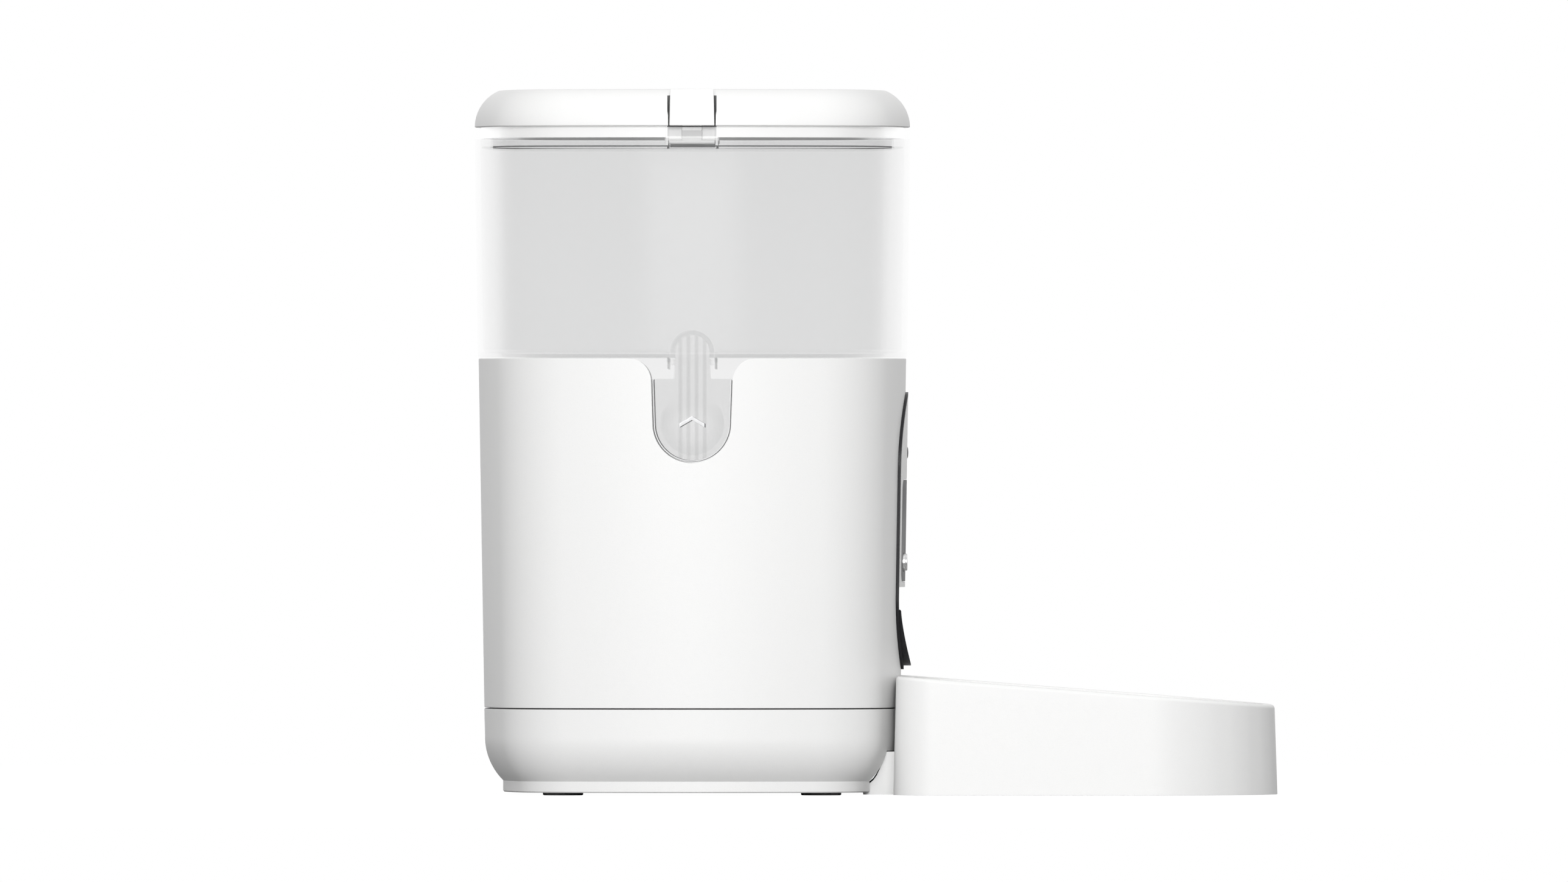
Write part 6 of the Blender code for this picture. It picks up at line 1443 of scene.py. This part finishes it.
class FEEDER_OT_panel(bpy.types.Operator):
    """Model the front panel: bezel, white plate, smoked screen, lens, push keys and spout"""
    bl_idname = "feeder.panel"
    bl_label = "Front panel"

    def bezel(self, panel):
        """Black carrier with a pocket for the plate, a display opening, stem holes and board posts."""
        piece = slab("bezel_body", capsule(panel.half, panel.low, panel.top), -panel.proud, panel.depth)
        inner, top, foot = panel.half - panel.rim, panel.top - panel.rim, panel.low + panel.rim
        through = (panel.pocket - OVERRUN, panel.depth + OVERRUN)
        mouth = arc((0, panel.low + panel.half), inner, math.pi, 2 * math.pi, 32)
        low = panel.screen_low + panel.screen_height - panel.display_height - panel.screen_corner
        wide = panel.display_half + RUN_GAP
        display = box_outline((-wide, low - RUN_GAP), (wide, low + panel.display_height + RUN_GAP))
        cut(
            piece, slab("plate_pocket", capsule(inner, foot, top), -panel.proud - OVERRUN, panel.pocket),
            slab("panel_mouth", mouth, *through), slab("display_opening", display, *through),
            *[slab("stem_hole", disc(centre, panel.stem + 0.0006, 24), *through) for centre in key_centres()],
        )
        soften(piece, 0.0003, 3)
        lay_on_wall(piece, 0)
        end = front_y(0, panel.screen_low + panel.screen_height / 2, panel.board_depth) - SEAT_GAP
        for x in (-panel.post_place, panel.post_place):
            for z in (panel.plate_low + panel.post_rise, top - panel.post_drop):
                begin = front_y(x, z, (panel.pocket + panel.depth) / 2)
                join(piece, rod("board_post", (x, begin, z), (x, end, z), panel.post_radius))
        done(piece, "black", "fascia_bezel")

    def plate(self, panel):
        half = panel.half - panel.rim - SEAT_GAP
        top = arc((0, panel.top - panel.half), half, 0, math.pi, 40)
        outline = [(half, panel.plate_low)] + top + [(-half, panel.plate_low)]
        piece = slab("plate_body", outline, -panel.plate_proud, panel.plate_thickness - panel.plate_proud)
        lens = disc((0, panel.top - panel.lens_drop), panel.lens_radius + SEAT_GAP)
        cut(piece, slab("screen_hole", screen_outline(0), *THROUGH), slab("lens_hole", lens, *THROUGH))
        soften(piece, 0.00035, 3)
        done(lay_on_wall(piece, 0), "white", "face_plate")

    def screen(self, panel):
        back = panel.screen_thickness - panel.screen_proud
        piece = slab("screen_body", screen_outline(SEAT_GAP), -panel.screen_proud, back)
        holes = [disc(centre, panel.key_radius + RUN_GAP) for centre in key_centres()]
        cut(piece, *[slab("key_hole", hole, *THROUGH) for hole in holes])
        soften(piece, 0.00025)
        done(lay_on_wall(piece, 0), "smoke", "display_window")

    def lens(self, panel):
        z, radius = panel.top - panel.lens_drop, panel.lens_radius
        height = panel.lens_depth + panel.plate_proud
        crown = [(radius * math.sin(turn), height + 0.0005 * math.cos(turn)) for turn in turns(8)]
        base = (0, front_y(0, z, panel.lens_depth), z)
        done(turned("lens_body", crown + [(radius, 0), (0, 0)], base, (0, -1, 0), 40), "smoke", "status_lens")

    def keys(self, panel):
        """Round push keys with a flange behind the screen and a stem down to the switch."""
        edge, radius, stem = panel.key_edge, panel.key_radius, panel.stem
        wide = radius + panel.key_flange
        for name, (x, z) in zip(("left", "middle", "right"), key_centres()):
            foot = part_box("button_" + name)[1].y
            height = foot - front_y(x, z, -panel.screen_proud)
            top = height + panel.key_proud
            flange = height - panel.screen_thickness - RUN_GAP - wide * abs(x) / sizes("plan").side
            low = flange - panel.key_flange_wall
            profile = [(0, top - 0.00015), (radius * 0.55, top - 0.00008)]
            profile += [
                (radius - edge + edge * math.sin(turn), top - edge + edge * math.cos(turn))
                for turn in turns(4)
            ]
            profile += [(radius, flange), (wide, flange), (wide, low), (stem, low), (stem, 0), (0, 0)]
            piece = turned("key_body_" + name, profile, (x, foot, z), (0, -1, 0), 48)
            done(piece, "silver", "button_" + name)

    def spout(self, panel):
        """Half-round lip that leans out at its foot and ends behind the bezel above."""
        outer = panel.half - panel.rim - SEAT_GAP
        centre = (0, panel.low + panel.half)
        section = arc(centre, outer, math.pi, 2 * math.pi, 64)
        section += arc(centre, outer - panel.spout_wall, 2 * math.pi, math.pi, 64)
        foot, front = centre[1] - outer, front_y(0, panel.low, -panel.spout_reach)
        piece = slab("spout_body", section, front - OVERRUN, front_y(0, panel.low, panel.spout_back))
        edge = [(front, foot - OVERRUN)]
        for share in (*between(0, 1, 24), 1):
            lean = panel.spout_reach * (1 - (1 - share) ** 1.4)
            edge.append((front + lean, foot + panel.spout_rise * share))
        (last, top), over = edge[-1], centre[1] + OVERRUN
        shy, clear = front + panel.spout_reach + side_fall(outer), front - 2 * OVERRUN
        edge += [
            (last + 0.0004, top + 0.0003), (last + 0.0012, top + 0.0005), (shy, top + 0.0005),
            (shy, over), (clear, over), (clear, foot - OVERRUN),
        ]
        cut(piece, slab("spout_trim", edge, -panel.half, panel.half, "YZ"))
        soften(piece, 0.0004, 3)
        done(piece, "black", "outlet_spout")

    def execute(self, context):
        panel = sizes("panel")
        for model in (self.bezel, self.plate, self.screen, self.lens, self.keys, self.spout):
            model(panel)
        return {"FINISHED"}


def tray_outline(inset):
    """Plan of the tray drawn in by an inset: rounded corners, a bowed front and a back by the body.

    The outside follows the body's bowed front. From the inner edge of the rim inwards the back is straight.
    """
    tray = sizes("tray")
    half, front_corner = tray.half - inset, tray.front_corner - inset
    rear_corner = max(tray.rear_corner - inset, tray.rear_corner / 4)
    back_half = half - rear_corner
    back_middle = -wall_half(tray.rear_height) - tray.gap - inset
    hollow = inset < tray.rim - tray.soft_edge - MERGE
    back = -tray.rear - inset if hollow else back_middle
    points = []
    for step in range(33):
        x = back_half * (1 - step / 16)
        points.append((x, min(back, back_middle + side_fall(x)) if hollow else back))
    points += arc((-back_half, back - rear_corner), rear_corner, math.pi / 2, math.pi, 14)[1:]
    corner_y = -tray.reach + tray.flare * tray.front_height + inset + tray.bow + front_corner
    inner_x = half - front_corner
    bend = arc((-inner_x, corner_y), front_corner, math.pi, 3 * math.pi / 2, 24)
    bend += [(inner_x * place / 8, corner_y - front_corner) for place in range(-7, 8)]
    bend += arc((inner_x, corner_y), front_corner, 3 * math.pi / 2, 2 * math.pi, 24)
    for x, y in bend:
        points.append((x, y - tray.bow * (1 - (x / half) ** 2) * (corner_y - y) / front_corner))
    return points + arc((back_half, back - rear_corner), rear_corner, 0, math.pi / 2, 14)[:-1]


def rim_level(y):
    """Level of the tray's sloping rim."""
    tray = sizes("tray")
    share = (y + tray.reach) / (tray.reach - tray.rear)
    return tray.front_height + (tray.rear_height - tray.front_height) * share


def sloped_ring(inset, drop):
    return [about_axis(x, y, rim_level(y) - drop) for x, y in tray_outline(inset)]


def level_ring(inset, z):
    return ring(tray_outline(inset), z)


def risen(low_ring, high_ring):
    """Seven rings between two others."""
    return [[low.lerp(high, share) for low, high in zip(low_ring, high_ring)] for share in between(0, 1, 8)]


class FEEDER_OT_tray(bpy.types.Operator):
    """Model the bowl tray with its sloping rim, bowl ledge and tongue"""
    bl_idname = "feeder.tray"
    bl_label = "Bowl tray"

    def tongue(self):
        """Side outline of the tongue: a plate, an upright step and a lean up to the root."""
        plan, tray, base = sizes("plan", "tray", "base")
        root, back, foot = -wall_half(tray.rear_height) - tray.wall, -tray.tongue_back, -tray.tongue_foot
        low, high, shelf = tray.tongue_lift, tray.tongue_height, base.plinth
        plate, third = low + tray.tongue_plate, math.pi / 3
        points = [(root, low), (back, low), (back, plate), (foot, plate), (foot, shelf)]
        points += [(
            foot - tray.tongue_bulge * math.sin(turn) / math.sin(third),
            shelf + (high - shelf) * (1 - math.cos(turn)) * 2,
        ) for turn in turns(6, third)[1:]]
        return [(y + plan.axis, z) for y, z in points + [(root, high)]]

    def execute(self, context):
        tray = sizes("tray")
        well, soft_edge, crown_edge = tray.rim + tray.ledge, tray.soft_edge, tray.rim_round
        foot = level_ring(-tray.flare * tray.front_height, tray.tongue_lift)
        crown = [sloped_ring(
            crown_edge * (1 - math.cos(turn)), crown_edge * (1 - math.sin(turn)),
        ) for turn in turns(5)]
        rings = [foot] + risen(foot, crown[0]) + crown
        rings += [sloped_ring(
            tray.rim - soft_edge + soft_edge * math.sin(turn), soft_edge * (1 - math.cos(turn)),
        ) for turn in turns(3)]
        rings += [
            sloped_ring(tray.rim, tray.ledge_drop), sloped_ring(well - soft_edge, tray.ledge_drop),
            sloped_ring(well, tray.ledge_drop + soft_edge), level_ring(well, tray.floor + 0.0020),
            level_ring(well + 0.0006, tray.floor + 0.0006), level_ring(well + 0.0020, tray.floor),
        ]
        piece = thicken(skin("tray_body", rings, cap_last=True), tray.wall)
        join(piece, slab("tray_tongue", self.tongue(), -tray.tongue_half, tray.tongue_half, "YZ"))
        done(piece, "white", "bowl_tray")
        return {"FINISHED"}


class FEEDER_OT_bowl(bpy.types.Operator):
    """Model the pressed steel bowl that lies in the tray"""
    bl_idname = "feeder.bowl"
    bl_label = "Food bowl"

    def execute(self, context):
        tray = sizes("tray")
        well = tray.rim + tray.ledge + tray.side_gap
        flange = tray.ledge_drop - SEAT_GAP - tray.sheet
        floor, side = tray.floor + SEAT_GAP + tray.sheet, well + tray.taper
        lip, bend = tray.lip, tray.floor_round
        rings = [sloped_ring(tray.rim + tray.flange_gap, flange)]
        rings += [
            sloped_ring(well + lip / 2 * math.sin(turn), flange + lip * (1 - math.cos(turn)))
            for turn in turns(6)
        ]
        bottom = [
            level_ring(side + bend * (1 - math.cos(turn)), floor + bend * (1 - math.sin(turn)))
            for turn in turns(9)
        ]
        rings += risen(rings[-1], bottom[0]) + bottom
        done(thicken(skin("bowl_body", rings, cap_last=True), tray.sheet), "steel", "food_bowl")
        return {"FINISHED"}


CARRIED = {
    "rubber": ("foot_front_left", "foot_back_left", "foot_front_right", "foot_back_right"),
    "grey": ("battery_tub", "gearbox"), "sleeve": ("battery_cell_1", "battery_cell_2", "battery_cell_3"),
    "steel": ("contact_strip_front", "contact_strip_back", "output_shaft"), "motor": ("drive_motor",),
    "black": ("dc_jack", "speaker"), "silicone": ("dispensing_rotor",), "board": ("control_board",),
    "white": ("battery_door", "inner_chassis", "outlet_chute", "desiccant_box", "desiccant_cover"),
}


class FEEDER_OT_inner(bpy.types.Operator):
    """Paint the CAD nodes that keep their own meshes"""
    bl_idname = "feeder.inner"
    bl_label = "Inner pieces"

    def execute(self, context):
        for finish, nodes in CARRIED.items():
            for node in nodes:
                painted(frame["nodes"][node].data, finish)
        return {"FINISHED"}


class FEEDER_OT_studio(bpy.types.Operator):
    """Set up the camera, the pale floor, the lamps and the white surroundings"""
    bl_idname = "feeder.studio"
    bl_label = "Studio"

    def aimed(self, thing, aim):
        """Point a camera or lamp at a place."""
        thing.rotation_euler = (Vector(aim) - thing.location).to_track_quat("-Z", "Y").to_euler()

    def lamp(self, name, place, aim, width, power):
        start()
        bpy.ops.object.light_add(type="AREA", location=place)
        lamp = named(name)
        lamp.data.shape, lamp.data.size, lamp.data.size_y = "RECTANGLE", width, width
        lamp.data.energy = power
        self.aimed(lamp, aim)

    def camera(self, studio):
        distance = studio.view_width * studio.lens / 36
        aim = about_axis(0, studio.aim_y, studio.aim_z)
        start()
        bpy.ops.object.camera_add(location=aim - Vector((distance, 0, 0)))
        camera = named("camera")
        camera.data.lens = studio.lens
        camera.data.clip_end = 4 * distance
        self.aimed(camera, aim)
        bpy.context.scene.camera = camera

    def floor(self, studio):
        """Pale floor that looks white to the camera and keeps the object's shadow."""
        start()
        bpy.ops.mesh.primitive_plane_add(size=2 * studio.floor_half, location=(0, 0, 0))
        floor = named("floor")
        bpy.ops.object.transform_apply(location=True, rotation=True, scale=True)
        made = Finish("pale_floor", (0.30, 0.30, 0.30), 0.9)
        seen = made.node("ShaderNodeLightPath", out="Is Camera Ray") * studio.floor_share
        glow = made.node("ShaderNodeEmission", {"Strength": studio.floor_glow})
        surface = made.blend(seen, Wire(made.tree, made.shader.outputs[0]), glow)
        feed(made.tree, made.tree.nodes["Material Output"].inputs["Surface"], surface)
        floor.data.materials.append(made.material)

    def surroundings(self, studio):
        """White all round: at full strength to the eye and in gloss, and soft as light."""
        world = bpy.data.worlds.new("white_room")
        bpy.context.scene.world = world
        world.use_nodes = True
        room = Nodes(world.node_tree)
        room.tree.nodes.clear()
        camera, gloss, through = [
            room.node("ShaderNodeLightPath", out=f"Is {kind} Ray")
            for kind in ("Camera", "Glossy", "Transmission")
        ]
        soft_light, plain = [
            room.node("ShaderNodeBackground", {"Color": WHITE, "Strength": strength})
            for strength in (studio.ambient, 1.0)
        ]
        surface = room.blend(camera.most(gloss.most(through)), soft_light, plain)
        feed(room.tree, room.tree.nodes.new("ShaderNodeOutputWorld").inputs["Surface"], surface)

    def execute(self, context):
        studio, plan = sizes("studio", "plan")
        context.scene.view_settings.view_transform = "Standard"
        self.camera(studio)
        self.floor(studio)
        self.surroundings(studio)
        middle = about_axis(0, -0.04, 0.15)
        self.lamp("key_lamp", about_axis(-2.4, 0.04, 0.70), middle, 1.0, studio.key)
        self.lamp("top_lamp", (0.0, 0.0, 2.4), middle, 2.0, studio.key * 0.22)
        return {"FINISHED"}


STEPS = (
    FEEDER_OT_base, FEEDER_OT_housing, FEEDER_OT_bin, FEEDER_OT_tabs, FEEDER_OT_lid, FEEDER_OT_latches,
    FEEDER_OT_panel, FEEDER_OT_tray, FEEDER_OT_bowl, FEEDER_OT_inner, FEEDER_OT_studio,
)
GROUPS = {
    "plan": PlanSizes, "base": BaseSizes, "notch": NotchSizes, "food": BinSizes, "lid": LidSizes,
    "panel": PanelSizes, "tray": TraySizes, "paints": Paints, "studio": Studio,
}


class FEEDER_PT_panel(bpy.types.Panel):
    """Lists the steps and the sizes of the feeder"""
    bl_label = "Pet Feeder"
    bl_idname = "FEEDER_PT_panel"
    bl_space_type = "VIEW_3D"
    bl_region_type = "UI"
    bl_category = "Feeder"

    def draw(self, context):
        for step in STEPS:
            self.layout.operator(step.bl_idname)
        for name, group in GROUPS.items():
            box = self.layout.box()
            box.label(text=group.__name__)
            for key in group.__annotations__:
                box.prop(sizes(name), key)


CLASSES = tuple(GROUPS.values()) + STEPS + (FEEDER_PT_panel,)


def register():
    for item in CLASSES:
        bpy.utils.register_class(item)
    for name, group in GROUPS.items():
        setattr(bpy.types.Scene, "feeder_" + name, PointerProperty(type=group))


def unregister():
    for name in GROUPS:
        delattr(bpy.types.Scene, "feeder_" + name)
    for item in reversed(CLASSES):
        bpy.utils.unregister_class(item)


def main():
    register()
    for step in STEPS:
        getattr(bpy.ops.feeder, step.bl_idname.split(".")[1])()


if __name__ == "__main__":
    main()
